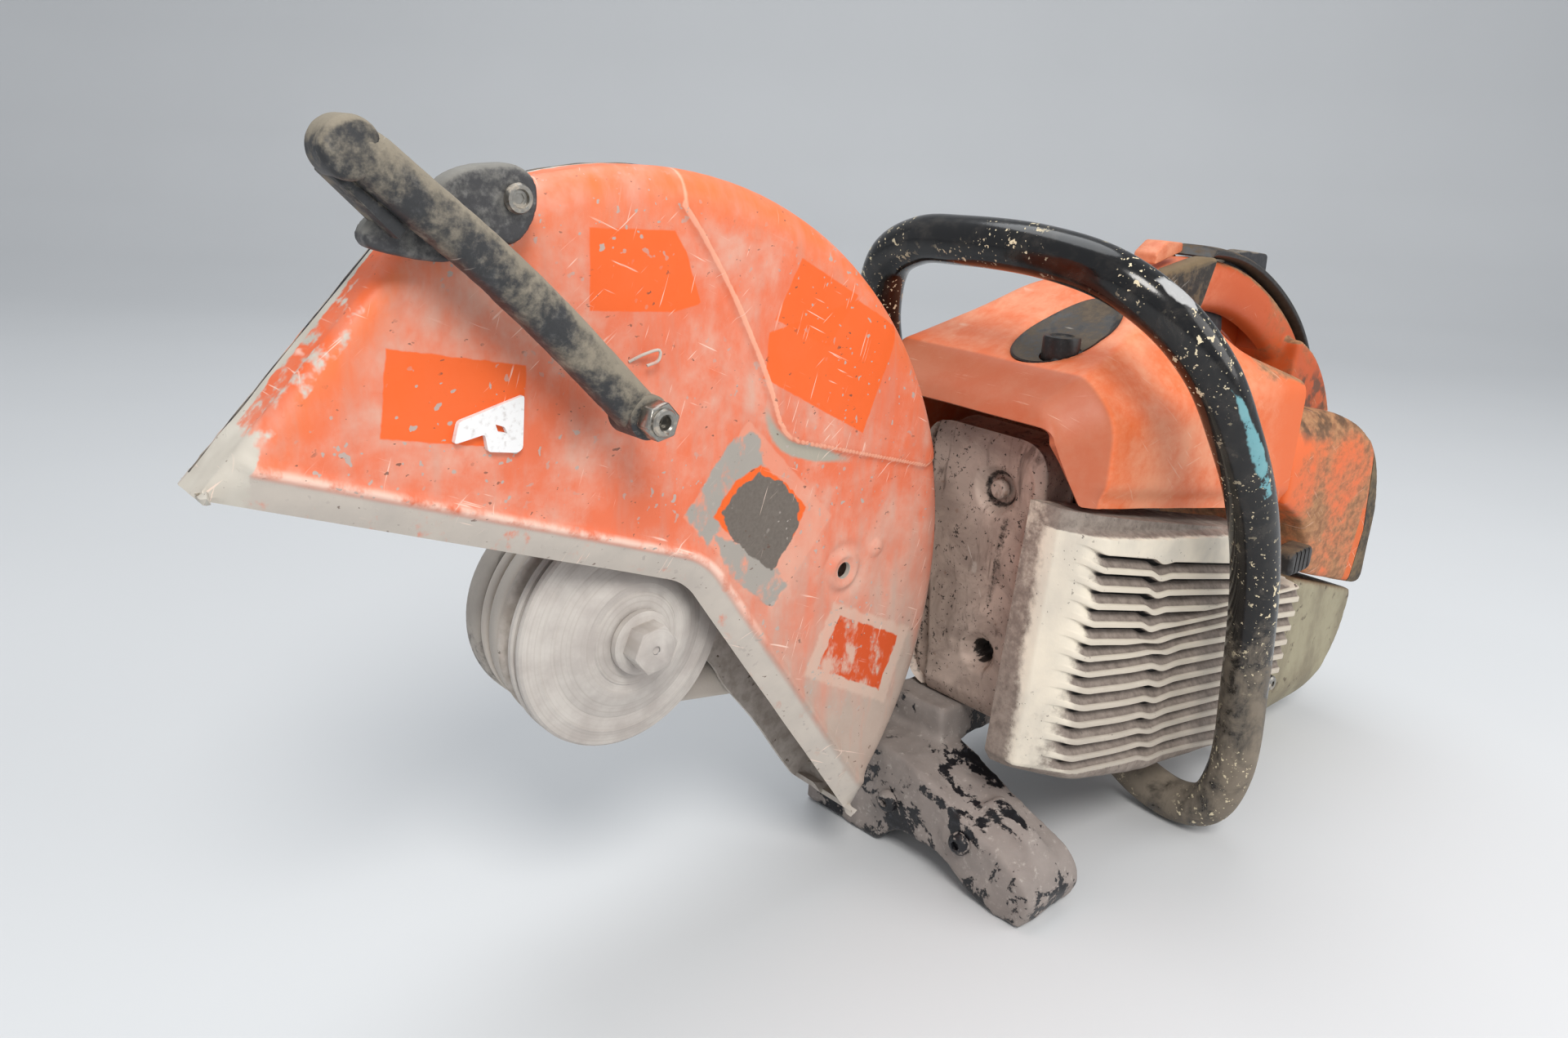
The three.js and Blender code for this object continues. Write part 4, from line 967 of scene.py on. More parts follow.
def guard_shell_near():
    """The painted shell that faces the photo, with its rolled lower edge and wear marks."""
    outer_angle, outer_radius = radius_along(outer_line)
    lower_angle, lower_radius = radius_along(lower_line)
    angles = guard_angles(430)
    flat_steps, curl_steps, band_steps = 92, 8, 10
    points, tags = [], {"edge": [], "foot": [], "crest": [], "worn": [], "band": []}
    for angle in angles:
        outer = np.interp(angle, outer_angle, outer_radius)
        inner = np.interp(angle, lower_angle, lower_radius)
        curl = min(13 - 5 * smooth_step(angle, 2.12, 2.2), 0.45 * (outer - inner))
        radii = np.linspace(inner, outer - curl, flat_steps)
        spots = np.stack([radii * math.cos(angle), radii * math.sin(angle)], axis=1)
        sink, edge, foot, crest = guard_relief(spots)
        for k in range(flat_steps):
            dent = 0.5 * rough((spots[k][0], 0, spots[k][1]), 34, 3.0) + 0.16 * rough((*spots[k], 0), 9)
            points.append((spots[k][0], GUARD_NEAR + max(0.0, sink[k] + dent), spots[k][1]))
            tags["band"].append(0.0)
        last_sink = sink[-1]
        for k in range(1, curl_steps + 1):
            turn = math.pi / 2 * k / curl_steps
            radius = outer - curl + curl * math.sin(turn)
            depth = GUARD_NEAR + last_sink * math.cos(turn) + curl * (1 - math.cos(turn))
            points.append((radius * math.cos(angle), depth, radius * math.sin(angle)))
            tags["band"].append(k / curl_steps)
        start = GUARD_NEAR + curl
        for k in range(1, band_steps + 1):
            depth = start + (GUARD_SEAM - start) * k / band_steps
            knock = 0.35 * rough((100 * angle, depth, 0), 9, 5.0)
            radius = outer - 0.35 + min(0.3, knock)
            points.append((radius * math.cos(angle), depth, radius * math.sin(angle)))
            tags["band"].append(1.0)
        rest = curl_steps + band_steps
        tags["edge"] += [*edge, *[min(60.0, edge[-1])] * rest]
        tags["foot"] += [*foot, *[0.0] * rest]
        tags["crest"] += [*crest, *[crest[-1] * 0.8] * rest]
    points = np.array(points)
    tip = smooth_step(points[:, 0], -146, -164)
    crease = smooth_step(points[:, 0], -90, -120) * smooth_step(np.array(tags["band"]), 0.05, 0.3)
    seam = smooth_step(points[:, 1], -7, -2.5)
    tags["worn"] = np.clip(tip + 0.32 * crease + 0.55 * seam, 0, 1)
    shell = mesh_object(
        "guard_near_shell_skin", points, grid_faces(len(angles), flat_steps + curl_steps + band_steps)
    )
    for tag, values in tags.items():
        set_attribute(shell, tag, values)
    face_nearer(shell)
    wall = shell.modifiers.new("wall", "SOLIDIFY")
    wall.thickness = 0.0024
    wall.offset = -1.0
    bake_modifiers(shell)
    hole = lathe("hole", [(0, -40), (4.1, -40), (4.1, 6), (0, 6)], 108, 11, 24)
    carve(shell, hole)
    return finish_piece(shell, guard_paint, "guard", ["guard_near_shell"], 50)


def face_nearer(obj, sign=-1):
    """Turns an open skin so that its faces look to the near side (or the far side)."""
    work = bmesh.new()
    work.from_mesh(obj.data)
    bmesh.ops.recalc_face_normals(work, faces=work.faces)
    if sum(face.normal.y * face.calc_area() for face in work.faces) * sign < 0:
        bmesh.ops.reverse_faces(work, faces=work.faces)
    work.to_mesh(obj.data)
    work.free()


def guard_shell_far():
    """The bare shell on the belt side; its inner face shows below the near shell."""
    outer_angle, outer_radius = radius_along(outer_line)
    lower_angle, lower_radius = radius_along(lower_line)
    angles = guard_angles(240)
    flat_steps, curl_steps, band_steps, flange_steps = 30, 6, 4, 3
    points = []
    for angle in angles:
        outer = np.interp(angle, outer_angle, outer_radius)
        inner = np.interp(angle, lower_angle, lower_radius)
        sag = 7 + 2.2 * math.sin(angle * 46) + 1.5 * rough((120 * angle, 0, 0), 7, 2.0)
        lowered = inner - sag * smooth_step(angle, 0.55, 0.2) / max(0.35, abs(math.sin(angle - 0.96)))
        outer = outer - FAR_STEP - 0.2
        inner = max(41.0, min(lowered, outer - 2)) if angle < FRONT_EDGE + 0.5 else max(41.0, inner)
        inner = min(inner, outer - 2)
        curl = min(7, 0.45 * (outer - inner))
        for k in range(flat_steps):
            radius = inner + (outer - curl - inner) * k / (flat_steps - 1)
            spot = (radius * math.cos(angle), 0, radius * math.sin(angle))
            depth = GUARD_FAR - 0.5 - 0.45 * abs(rough(spot, 26, 6.0))
            points.append((spot[0], depth, spot[2]))
        for k in range(1, curl_steps + 1):
            turn = math.pi / 2 * k / curl_steps
            radius = outer - curl + curl * math.sin(turn) - 0.3
            depth = GUARD_FAR - 0.5 - curl * (1 - math.cos(turn))
            points.append((radius * math.cos(angle), depth, radius * math.sin(angle)))
        for k in range(1, band_steps + 1):
            depth = GUARD_FAR - 0.5 - curl - (GUARD_FAR - 3.4 - curl - GUARD_SEAM) * k / band_steps
            radius = outer - 0.3 + min(0.25, 0.5 * rough((150 * angle, depth, 9), 5, 8.0))
            points.append((radius * math.cos(angle), depth, radius * math.sin(angle)))
        for k in range(1, flange_steps + 1):
            radius = outer + (
                FAR_STEP - 0.6 + 0.5 * min(0.4, rough((150 * angle, 0, 30), 3, 4.0))
            ) * k / flange_steps
            points.append((radius * math.cos(angle), GUARD_SEAM + 2.2, radius * math.sin(angle)))
    rows = flat_steps + curl_steps + band_steps + flange_steps
    shell = mesh_object("guard_far_shell_skin", points, grid_faces(len(angles), rows))
    face_nearer(shell, 1)
    wall = shell.modifiers.new("wall", "SOLIDIFY")
    wall.thickness = 0.0024
    wall.offset = -1.0
    bake_modifiers(shell)
    hub_profile = [
        (40.8, 12.3), (48, 12.3), (49.6, 13.4), (49.8, 15.2), (49, 15.9), (44, 15.9), (41.6, 15.2)
    ]
    fuse(shell, lathe("hub", hub_profile, sides=128))
    return finish_piece(shell, guard_dust, "guard", ["guard_far_shell"], 50)


def guard_trims():
    """The dirt-filled seam band, a bent wire tab and the torn label."""
    outer_angle, outer_radius = radius_along(outer_line)
    angles = guard_angles(420)[3:-3]
    route = []
    for angle in angles:
        radius = np.interp(angle, outer_angle, outer_radius) - 1.0
        route.append((radius * math.cos(angle), GUARD_SEAM + 0.1, radius * math.sin(angle)))
    route = np.array(route)
    route[:, 0] = np.maximum(route[:, 0], -165.5)
    seam = sweep(
        "guard_seam_dirt", route, lambda t: circle(0.85 + 0.1 * math.sin(210 * t), sides=8), (0, 1, 0)
    )
    finish_piece(seam, black_plastic, "guard")
    wire = smooth_route(
        [(-14, -24.5, 121), (-9, -27.5, 124), (-3, -28.6, 125), (-3.4, -28.6, 121.4), (-8, -27.6, 119.5)],
        30
    )
    tab = sweep("guard_wire_tab", wire, lambda t: circle(0.6, sides=10))
    finish_piece(tab, guard_paint, "guard")
    scrap = [(-84, 107.5), (-59, 114), (-60, 95), (-62, 93.6), (-73.5, 95.6), (-74.5, 102), (-86, 100)]
    outline = fillet(scrap, 1.2, 3)
    label = prism("guard_torn_label", outline, -26.4, -24.2)
    carve(label, prism("nick", [(-70.5, 105), (-67, 103.6), (-66, 101.2), (-69.6, 102.2)], -30, -20))
    finish_piece(label, label_paper, "guard")


guard_shell_near()
guard_shell_far()
guard_trims()


# Adjusting lever, bracket and water fittings ----------------------------------------------

lever_route = smooth_route(
    [(-24, -45, 107), (-61, -43, 145), (-83, -42, 165), (-106, -41, 184), (-122, -40, 197.5)], 150
)


def adjusting_lever():
    """A thick moulded arm, hollow behind its free end, with a thin strip along its lower side."""

    def section(t):
        end = float(smooth_step(t, 0.93, 1.0))
        wide = 8.0 - 0.8 * end
        hollow = 6.0 * float(smooth_step(t, 0.5, 0.57))
        far_side = 1.0 - hollow / 7.6
        corners = []
        for a, b in oval_box(7.6 - 0.6 * end, -wide, wide, 2.7, 44):
            corners.append((a if a < 0 else a * far_side, b))
        return corners

    bar = sweep("adjusting_lever_arm", lever_route, section, (0, 1, 0))
    tip = soften_now(prism("lever_tip", circle(9.2, -123, 195.8, 48), -47.2, -33), 2.6, 4, 50)
    strip_line = [(-128.9, 189.2), (-108.9, 169.7), (-106.3, 172.4), (-109.4, 176.6), (-127.3, 191.4)]
    strip = soften_now(
        prism("lever_strip", fillet(strip_line, [0.8, 0.4, 0.6, 1.2, 0.8]), -42, -31.6), 0.6
    )
    fuse(bar, tip, strip)
    # A dark floor in the lever's hollow slot: a sheet of painted shade, not a real part.
    floor_line = [(-127, 190.4), (-107, 172.6), (-100, 180), (-118, 197)]
    slot_floor = prism("lever_slot_floor", fillet(floor_line, 2), -33.6, -31.4)
    finish_piece(slot_floor, rubber, "guard")
    points = points_of(bar)
    inward = np.array([0.22 * rough(p, 7, 1.0) + 0.1 * rough(p, 2.4) for p in points])
    centre = lever_route[np.argmin(np.linalg.norm(points[:, None] - lever_route[None], axis=2), axis=1)]
    push = points - centre
    push /= np.maximum(np.linalg.norm(push, axis=1), 1e-6)[:, None]
    move_points(bar, points - push * np.abs(inward)[:, None])
    profile = [(0, -52.9), (7.4, -52.9), (8.2, -52), (8.4, -38), (7.4, -36.6), (0, -36.6)]
    fuse(bar, lathe("lever_collar", profile, -24, 107, 48))
    finish_piece(bar, lever_rubber, "guard", ["adjusting_lever"], 40)


def lever_bracket():
    """The black bracket that carries the adjusting lever on the guard's rim."""
    cheek = [
        (-91, 187), (-81, 191), (-66, 192), (-59, 188), (-57, 181), (-60, 172), (-66, 166), (-80, 166),
        (-96, 178)
    ]
    wing = [
        (-84, 172), (-94, 175), (-110, 177), (-114, 175), (-117, 171), (-116, 167), (-110, 165),
        (-97, 162), (-87, 161.4)
    ]
    near = prism("near_cheek", fillet(cheek, [6, 8, 8, 6, 6, 8, 8, 8, 2]), -36, -27.5)
    near_wing = prism("near_wing", fillet(wing, [2, 4, 3, 3, 3, 3, 4, 6, 4]), -36, -27.5)
    body = fuse(near, near_wing)
    remould(body, 1.0, 5)
    track = sweep("lever_track", lever_route, lambda t: circle(8.6, sides=20))
    carve(body, track)
    finish_piece(body, bracket_plastic, "guard", ["lever_bracket"], 60)


def bracket_screw():
    profile = [(0, -36.4), (4.8, -36.4), (5, -37.6), (4.4, -38.9), (3.1, -38.9), (2.7, -37.8), (0, -37.8)]
    screw = lathe("bracket_screw", profile, -66, 181, 40)
    carve(screw, prism("socket", circle(1.9, -66, 181, 6), -40, -37.4))
    finish_piece(soften(screw, 0.3), steel, "guard", ["lever_screw"])


def water_nozzle():
    """A hexagonal hose fitting with a bright bore."""
    hexagon = prism("hexagon", circle(7.3, -24, 107, 6, 0.2), -60.4, -53.6)
    carve(hexagon, lathe("bore", [(0, -80), (3.1, -80), (3.1, 80), (0, 80)], -24, 107, 32))
    lip = [(2.6, -61.2), (3.2, -61.9), (4.6, -61.9), (5.2, -61), (5.2, -59), (2.6, -59)]
    inner = [(0, -54), (3.3, -54), (3.3, -57.4), (1.1, -57.4), (1.1, -56.6), (0, -56.6)]
    fitting = fuse(soften_now(hexagon, 0.7), lathe("lip", lip, -24, 107, 48))
    fuse(fitting, lathe("inner", inner, -24, 107, 32))
    finish_piece(fitting, steel, "guard", ["water_nozzle"])


def soften_now(obj, width, segments=2, angle=38):
    return bake_modifiers(soften(obj, width, segments, angle))


adjusting_lever()
lever_bracket()
bracket_screw()
water_nozzle()


# Thrust washers, clamping bolt and spindle -------------------------------------------------


def front_washer():
    profile = [
        (10.3, -0.3), (46, -0.3), (47, -0.8), (50.4, -0.8), (51.3, -1.5), (51.5, -2.6),
        (51.2, -3.8), (50.2, -4.8), (48, -5.4), (44.5, -5.9), (43.8, -6.3), (41, -6.5),
        (37, -6.9), (36.2, -7.4), (33, -7.9), (30.5, -9.3),
        (28, -10.4), (24.5, -11.2), (23.8, -11.0), (20.8, -11.2), (20.2, -11.8), (16.5, -12.3), (10.3, -12.3),
    ]
    washer = lathe("front_washer_disc", profile, sides=160)
    points = points_of(washer)
    dent = np.array([0.1 * rough(p, 8, 4.0) for p in points])
    points[:, 1] += np.where(points[:, 1] < -1, dent, 0)
    move_points(washer, points)
    finish_piece(washer, flange_steel, "spindle", ["front_thrust_washer"], 24)


def rear_washer():
    profile = [
        (10.3, 0.3), (47, 0.3), (47.5, 1.4), (50.6, 1.5), (51.4, 2.3), (51.3, 4.2), (49.8, 5.2), (46, 5.6),
        (44, 6.8), (42, 7.2), (40, 8.6), (36, 9.8), (10.3, 9.8),
    ]
    washer = lathe("rear_washer_disc", profile, sides=160)
    finish_piece(washer, flange_steel, "spindle", ["rear_thrust_washer"], 24)


def clamp_bolt():
    head = prism("clamp_bolt_head", circle(11, 0, 0, 6, 0.12), -26, -17.2)
    dimple = lathe("dimple", [(0, -27), (2.2, -27), (1.6, -25.2), (0, -24.8)], sides=24)
    carve(head, dimple)
    soften_now(head, 0.9, 3)
    flange = [
        (0, -17.6), (12.6, -17.4), (14, -16.4), (14, -13.6), (13.6, -12.9), (5, -12.9), (5, 15.5),
        (0, 15.5)
    ]
    fuse(head, lathe("bolt_flange", flange, sides=64))
    finish_piece(head, flange_steel, "spindle", ["clamp_bolt"])


front_washer()
rear_washer()
clamp_bolt()


# Muffler shield --------------------------------------------------------------------------------

MUFFLER_FRONT = 203


def rounded_box_line(low_a, high_a, low_b, high_b, radius, count):
    """Evenly spaced points round a rectangle with round corners, as (a, b)."""
    corners = [(low_a, low_b), (high_a, low_b), (high_a, high_b), (low_a, high_b)]
    line = np.array(fillet(corners, radius, 10))
    closed = np.vstack([line, line[:1]])
    run = np.concatenate([[0], np.cumsum(np.linalg.norm(np.diff(closed, axis=0), axis=1))])
    even = np.linspace(0, run[-1], count, endpoint=False)
    return np.stack([np.interp(even, run, closed[:, 0]), np.interp(even, run, closed[:, 1])], axis=1)


def muffler_relief(spots):
    """Depth of the pressed front face behind its foremost plane."""
    y, z = spots[:, 0], spots[:, 1]
    crease = 6 + 4 * np.sin((z + 20) / 38)
    depth = 0.6 + 4.6 * smooth_step(y, crease - 3, crease + 2)
    for low, reach, deep in ((36, 13.5, 7.5), (-54, 12, 4.6)):
        away = np.hypot(y + 34, z - low)
        depth += deep * smooth_step(away, reach, 7.2)
    ring = np.hypot(y + 34, z + 50)
    depth -= 1.8 * np.exp(-(((ring - 19) / 1.8) ** 2)) * smooth_step(z, -60, -44)
    away = np.hypot(y + 34, z + 54)
    depth += 12 * smooth_step(away, 6.6, 5.2)
    return depth


def muffler_shield():
    """The pressed front shield, with one screw well in use and one empty."""
    count, rings = 240, 52
    outline = rounded_box_line(-62.8, 15.8, -87.8, 65.0, 19, count)
    centre = np.array([-26.0, -8.0])
    points, soot_and_shade = [], []
    for k in range(rings + 1):
        share = 0.03 + 0.97 * (k / rings) ** 0.9
        spots = centre + (outline - centre) * share
        inset = np.linalg.norm(outline - spots, axis=1)
        depth = muffler_relief(spots)
        depth += 2.2 * np.clip(1 - inset / 7, 0, 1) ** 2 * (k / rings)
        depth -= 0.7 * np.exp(-(((inset - 8.5) / 2.2) ** 2))
        for (y, z), sink in zip(spots, depth):
            dent = 0.35 * rough((0, y, z), 17, 2.0)
            points.append((MUFFLER_FRONT + 0.4 + max(0.0, sink + dent), y, z))
            # The tag built here is painted shade in the empty screw hole's pit and on the screw-well walls,
            # and soot in the streak below the upper well.
            hole = smooth_step(math.hypot(y + 34, z + 54), 7.4, 6.2)
            upper, lower = math.hypot(y + 34, z - 36), math.hypot(y + 34, z + 54)
            wall = max(
                math.exp(-(((upper - 8.5) / 2.4) ** 2)), 0.6 * math.exp(-(((lower - 10) / 1.6) ** 2))
            )
            streak = math.exp(
                -(((y + 40 + 0.1 * z) / 5.0) ** 2)
            ) * smooth_step(z, 34, 20) * smooth_step(z, -40, -20)
            soot_and_shade.append(float(max(hole, 0.75 * wall, 0.62 * streak)))
    for depth, grow in ((4.4, 0.0), (7.0, -0.8), (12.0, -1.2), (20.0, -1.2), (25.6, -0.2)):
        squeeze = (outline - centre) * (1 + grow / 70) + centre
        points += [(MUFFLER_FRONT + depth, y, z) for y, z in squeeze]
        # The side walls get a patchy share of the same painted shade.
        soot_and_shade += [0.3] * count
    faces = grid_faces(rings + 6, count, wrap=True)
    faces.append(tuple(range(count)))
    shield = mesh_object("muffler_shield_pressing", points, faces)
    set_attribute(shield, "soot_and_shade", soot_and_shade)
    wall = shield.modifiers.new("wall", "SOLIDIFY")
    wall.thickness = 0.0016
    wall.offset = -1.0
    bake_modifiers(shield)
    finish_piece(shield, exhaust_steel, "engine", ["muffler_shield"], 50)


def muffler_screw():
    x = MUFFLER_FRONT
    profile = [(0, x + 2.4), (3.4, x + 2.4), (4.6, x + 3.2), (5, x + 4.2), (5, x + 6.8), (0, x + 6.8)]
    screw = lathe("muffler_screw_head", profile, axis="x", y=-34, z=36, sides=40)
    finish_piece(soften(screw, 0.3), exhaust_steel, "engine", ["muffler_screw"])


muffler_shield()
muffler_screw()


# Fan cover -----------------------------------------------------------------------------------------

COVER_NEAR = -104
SLAT_COUNT = 13
SLAT_PITCH = 9.1


def cover_top(x):
    return np.interp(x, [176, 190, 378, 440], [44, 42, 9, -2])


def cover_bottom(x):
    return np.interp(x, [176, 215, 261, 333, 395, 428, 438], [-90, -108, -121, -127.5, -124.5, -103, -80])


def cover_left(z):
    return np.interp(z, [-128, -108, -88, 42, 60], [212, 190, 176.5, 190, 191])


def cover_right(z):
    return np.interp(z, [-125, -100, -46, -37, -31, 9, 20], [398, 428, 437, 404, 378, 378, 378])


def slat_kink(x):
    """The louvres step down and open where the fan draws its air."""
    return -2.6 * smooth_step(x, 262, 276) + 1.4 * smooth_step(x, 276, 292) - 3.0 * smooth_step(x, 196, 215)


def fan_cover():
    """The starter-side cover: its louvres are rows of one repeating profile."""
    # The third number of each row weights the near-black painted shade of the louvre gap.
    parts = [
        (0.0, 0.0, 0), (0.035, 1.2, 0.2), (0.06, 6.4, 1), (0.16, 7.6, 1), (0.25, 6.8, 0.85),
        (0.3, 6.0, 0.3), (0.42, 4.6, 0), (0.56, 3.2, 0), (0.66, 2.2, 0), (0.7, 0.5, 0),
        (0.74, 0.0, 0), (0.87, -0.15, 0),
    ]
    columns = 150
    first_line = 26.0
    rows_top, rows_bottom = 16, 18
    lines = []
    for k in range(rows_top):
        lines.append(("top", 1 - k / rows_top, 0.0, 0))
    for k in range(SLAT_COUNT):
        for share, depth, painted_slot_shade in parts:
            lines.append(("slat", first_line - SLAT_PITCH * (k + share), depth, painted_slot_shade))
    for k in range(rows_bottom + 1):
        lines.append(("bottom", k / rows_bottom, 0.0, 0))
    points, dust, painted_slot_shades, lips = [], [], [], []
    last_line = first_line - SLAT_PITCH * SLAT_COUNT
    for kind, value, depth, painted_slot_shade in lines:
        for j in range(columns):
            u = j / (columns - 1)
            u = u + 0.10 * math.sin(2 * math.pi * u) / (2 * math.pi) * -1
            x = 186 + u * 248
            slope = (x - 200) * BODY_SLOPE + slat_kink(x)
            if kind == "top":
                start = first_line + slope
                z = start + (cover_top(x) - start) * value
            elif kind == "slat":
                z = value + slope
            else:
                start = last_line + slope
                z = start + (min(start - 2, cover_bottom(x)) - start) * value
            z = float(z)
            left, right = float(cover_left(z)), float(cover_right(z))
            x = left + (right - left) * u
            inset = x - left
            tail_off = right - x
            fade = float(smooth_step(inset, 6, 30) * smooth_step(tail_off, 4, 14))
            base = COVER_NEAR + 27 * (
                1 - float(smooth_step(inset, -14, 24))
            ) ** 1.15 + 3.4 * (1 - float(smooth_step(inset, 18, 66)))
            base += 16 * (1 - float(smooth_step(tail_off, 0, 15))) ** 2
            if kind == "top":
                sink = 7.5 * float(
                    smooth_step(cover_top(x) - z, 10.5, 7.5)
                ) * float(smooth_step(inset, 2, 16))
                base += sink
                dusty = float(smooth_step(cover_top(x) - z, 11, 8.5)) * 0.95
            elif kind == "slat":
                dusty = float(np.clip(depth / 1.4, 0, 1)) * fade * 0.95
            else:
                base += 15 * value**3 + 1.5 * value
                dusty = 0.45 + 0.3 * value
            depth_here = depth * fade * 0.86 + 0.12 * rough((x, 0, z), 13, 1.0)
            points.append((x, base + max(0.0, depth_here), z))
            dust.append(dusty)
            painted_slot_shades.append(painted_slot_shade * fade)
            lips.append(fade if kind == "slat" and depth <= 0.5 else 0.0)
    faces = []
    for i in range(len(lines) - 1):
        for j in range(columns - 1):
            a = i * columns + j
            faces.append((a, a + 1, a + columns + 1, a + columns))
    ring = list(range(columns))
    ring += [(i + 1) * columns - 1 for i in range(1, len(lines))]
    ring += [(len(lines) - 1) * columns + j for j in range(columns - 2, -1, -1)]
    ring += [i * columns for i in range(len(lines) - 2, 0, -1)]
    start = len(points)
    centre = np.array([300.0, 0.0, -40.0])
    for level, (depth, pull) in enumerate(((-74.0, 0.0), (-65.6, 0.002))):
        for index in ring:
            x, y, z = points[index]
            points.append((x + (centre[0] - x) * pull, max(y + 0.2, depth), z + (centre[2] - z) * pull))
            dust.append(0.6)
            painted_slot_shades.append(0.0)
            lips.append(0.0)
        count = len(ring)
        before = ring if level == 0 else [start + k for k in range(count)]
        now = [start + level * count + k for k in range(count)]
        faces += [
            (before[k], before[(k + 1) % count], now[(k + 1) % count], now[k])
            for k in range(count)
        ]
    cover = mesh_object("fan_cover_louvres", points, faces)
    set_attribute(cover, "dust", dust)
    set_attribute(cover, "painted_slot_shade", painted_slot_shades)
    set_attribute(cover, "lip", lips)
    outward_open(cover)
    wall = cover.modifiers.new("wall", "SOLIDIFY")
    wall.thickness = 0.0011
    wall.offset = -1.0
    bake_modifiers(cover)
    finish_piece(cover, cream_plastic, "engine", ["fan_cover"], 48)


def outward_open(obj):
    """Makes an open skin's faces agree, with its near side outward."""
    work = bmesh.new()
    work.from_mesh(obj.data)
    bmesh.ops.recalc_face_normals(work, faces=work.faces)
    facing = sum(face.normal.y * face.calc_area() for face in work.faces)
    if facing > 0:
        bmesh.ops.reverse_faces(work, faces=work.faces)
    work.to_mesh(obj.data)
    work.free()


def cover_screws():
    for side, x, z in (("front", 196, -60), ("rear", 412, -106)):
        y = COVER_NEAR + (14 if side == "front" else 3)
        profile = [(0, y - 2.6), (3.9, y - 2.6), (4.8, y - 1.6), (5, y + 1), (5, y + 3), (0, y + 3)]
        screw = lathe("cover_screw_" + side, profile, x, z, 36)
        carve(screw, prism("socket", circle(2, x, z, 6), y - 4, y - 0.6))
        finish_piece(screw, steel, "engine", ["fan_cover_screw_" + side])


def starter_grip():
    """The pull grip; its rope is not made."""
    bow = prism(
        "starter_grip_bow", fillet([(384, -27), (411, -27), (411, -12), (384, -12)], 5), -112, -98.4
    )
    soften_now(bow, 2.4, 4)
    for place in (390, 395, 400, 405):
        carve(
            bow,
            prism(
                "groove",
                fillet(
                    [(place - 0.7, -30), (place + 0.7, -30), (place + 0.7, -5), (place - 0.7, -5)], 0.3
                ),
                -113, -111.1
            )
        )
    finish_piece(bow, grip_rubber, "grip", ["starter_grip"])


fan_cover()
cover_screws()
starter_grip()


# Hood -------------------------------------------------------------------------------------------------

HOOD_REAR = 400
BODY_NEAR, BODY_FAR = -95, 50
HANDLE_Y = -30

hood_profile = np.array(
    fillet(
        [
            (-95, -40), (-95, 84), (-78, 102), (-58, 138), (-20, 145), (12, 138), (38, 112), (50, 84),
            (50, -40)
        ],
        [1, 16, 14, 22, 30, 26, 20, 20, 1],
        8,
    )
)


def hood_top(x):
    corners = [
        (183.5, 84), (188, 97), (228, 107), (262, 119), (288, 134), (316, 134), (346, 104), (400, 84),
    ]
    line = np.array(fillet(corners, [0.1, 6, 20, 20, 20, 16, 24, 0.1], 6))
    return np.interp(x, line[:, 0], line[:, 1])


def hood_low(x):
    return np.interp(x, [184, 199, 400], [80, 43.5, 8])


def soft_minimum(a, b, width):
    h = np.clip(0.5 + 0.5 * (b - a) / width, 0, 1)
    return b * (1 - h) + a * h - width * h * (1 - h)


def hood_section(x, count):
    """(y, z) round the hood at one station, from the near lower edge over the top."""
    run = np.concatenate([[0], np.cumsum(np.linalg.norm(np.diff(hood_profile, axis=0), axis=1))])
    start = np.interp(float(hood_low(x)), [-40, 84], [0, 124])
    even = np.linspace(start, run[-1] - start, count)
    y, z = np.interp(even, run, hood_profile[:, 0]), np.interp(even, run, hood_profile[:, 1])
    z = soft_minimum(z, float(hood_top(x)), 11.0)
    inset = 15.5 * (1 - float(smooth_step(x, 187, 211)))
    side = np.clip((y - BODY_NEAR) / (BODY_FAR - BODY_NEAR), 0, 1)
    y = y + inset * (1 - side) ** 2 - 0.7 * inset * side**2
    z = z - 0.55 * inset * smooth_step(z, 60, 95)
    above = z - float(hood_low(x))
    tuck = 4.2 * (1 - smooth_step(above, 2, 12.5)) * smooth_step(x, 196, 214)
    y = y + tuck * (1 - side) - tuck * side
    return y, z


INSERT_AT, INSERT_HALF = (247, -36), (37, 25)


def recess_depth(x, y, z):
    """The dished seat of the black insert on the near front shoulder."""
    u, v = (x - INSERT_AT[0]) / INSERT_HALF[0], (y - INSERT_AT[1]) / INSERT_HALF[1]
    reach = math.sqrt(u * u + v * v) + 0.2 * max(0.0, -v) * (1 - min(1.0, abs(u)))
    return float(smooth_step(reach, 1.05, 0.86))


def hood():
    """The orange hood, open at the front, on the outline that hood_top gives."""
    stations = np.concatenate([np.linspace(184.6, 214, 26), np.linspace(216.5, HOOD_REAR, 74)])
    count = 120
    points, lip = [], []
    for x in stations:
        y, z = hood_section(float(x), count)
        for a, b in zip(y, z):
            dish = recess_depth(float(x), a, b)
            dent = 0.3 * rough((x, a, b), 30, 3.0)
            points.append((x, a, b - 3.0 * dish + dent))
            lip.append(float(1 - smooth_step(x, 205, 211)))
    shell = mesh_object("hood_shell", points, grid_faces(len(stations), count))
    # The lip tag marks the hood's front chamfer band, which is painted darker as shade.
    set_attribute(shell, "lip", lip)
    outward_up(shell)
    wall = shell.modifiers.new("wall", "SOLIDIFY")
    wall.thickness = 0.003
    wall.offset = -1.0
    bake_modifiers(shell)
    room = block("handle_room", (312, HANDLE_Y - 19, 40), (420, HANDLE_Y + 19, 160))
    well = lathe("button_well", [(0, 60), (10.2, 60), (10.2, 160), (0, 160)], 228, 0, 40, axis="z", y=-46)
    carve(shell, room, well)
    finish_piece(shell, orange_plastic, "engine", ["hood"], 42)


def outward_up(obj):
    work = bmesh.new()
    work.from_mesh(obj.data)
    bmesh.ops.recalc_face_normals(work, faces=work.faces)
    facing = sum(face.normal.z * face.calc_area() for face in work.faces)
    if facing < 0:
        bmesh.ops.reverse_faces(work, faces=work.faces)
    work.to_mesh(obj.data)
    work.free()


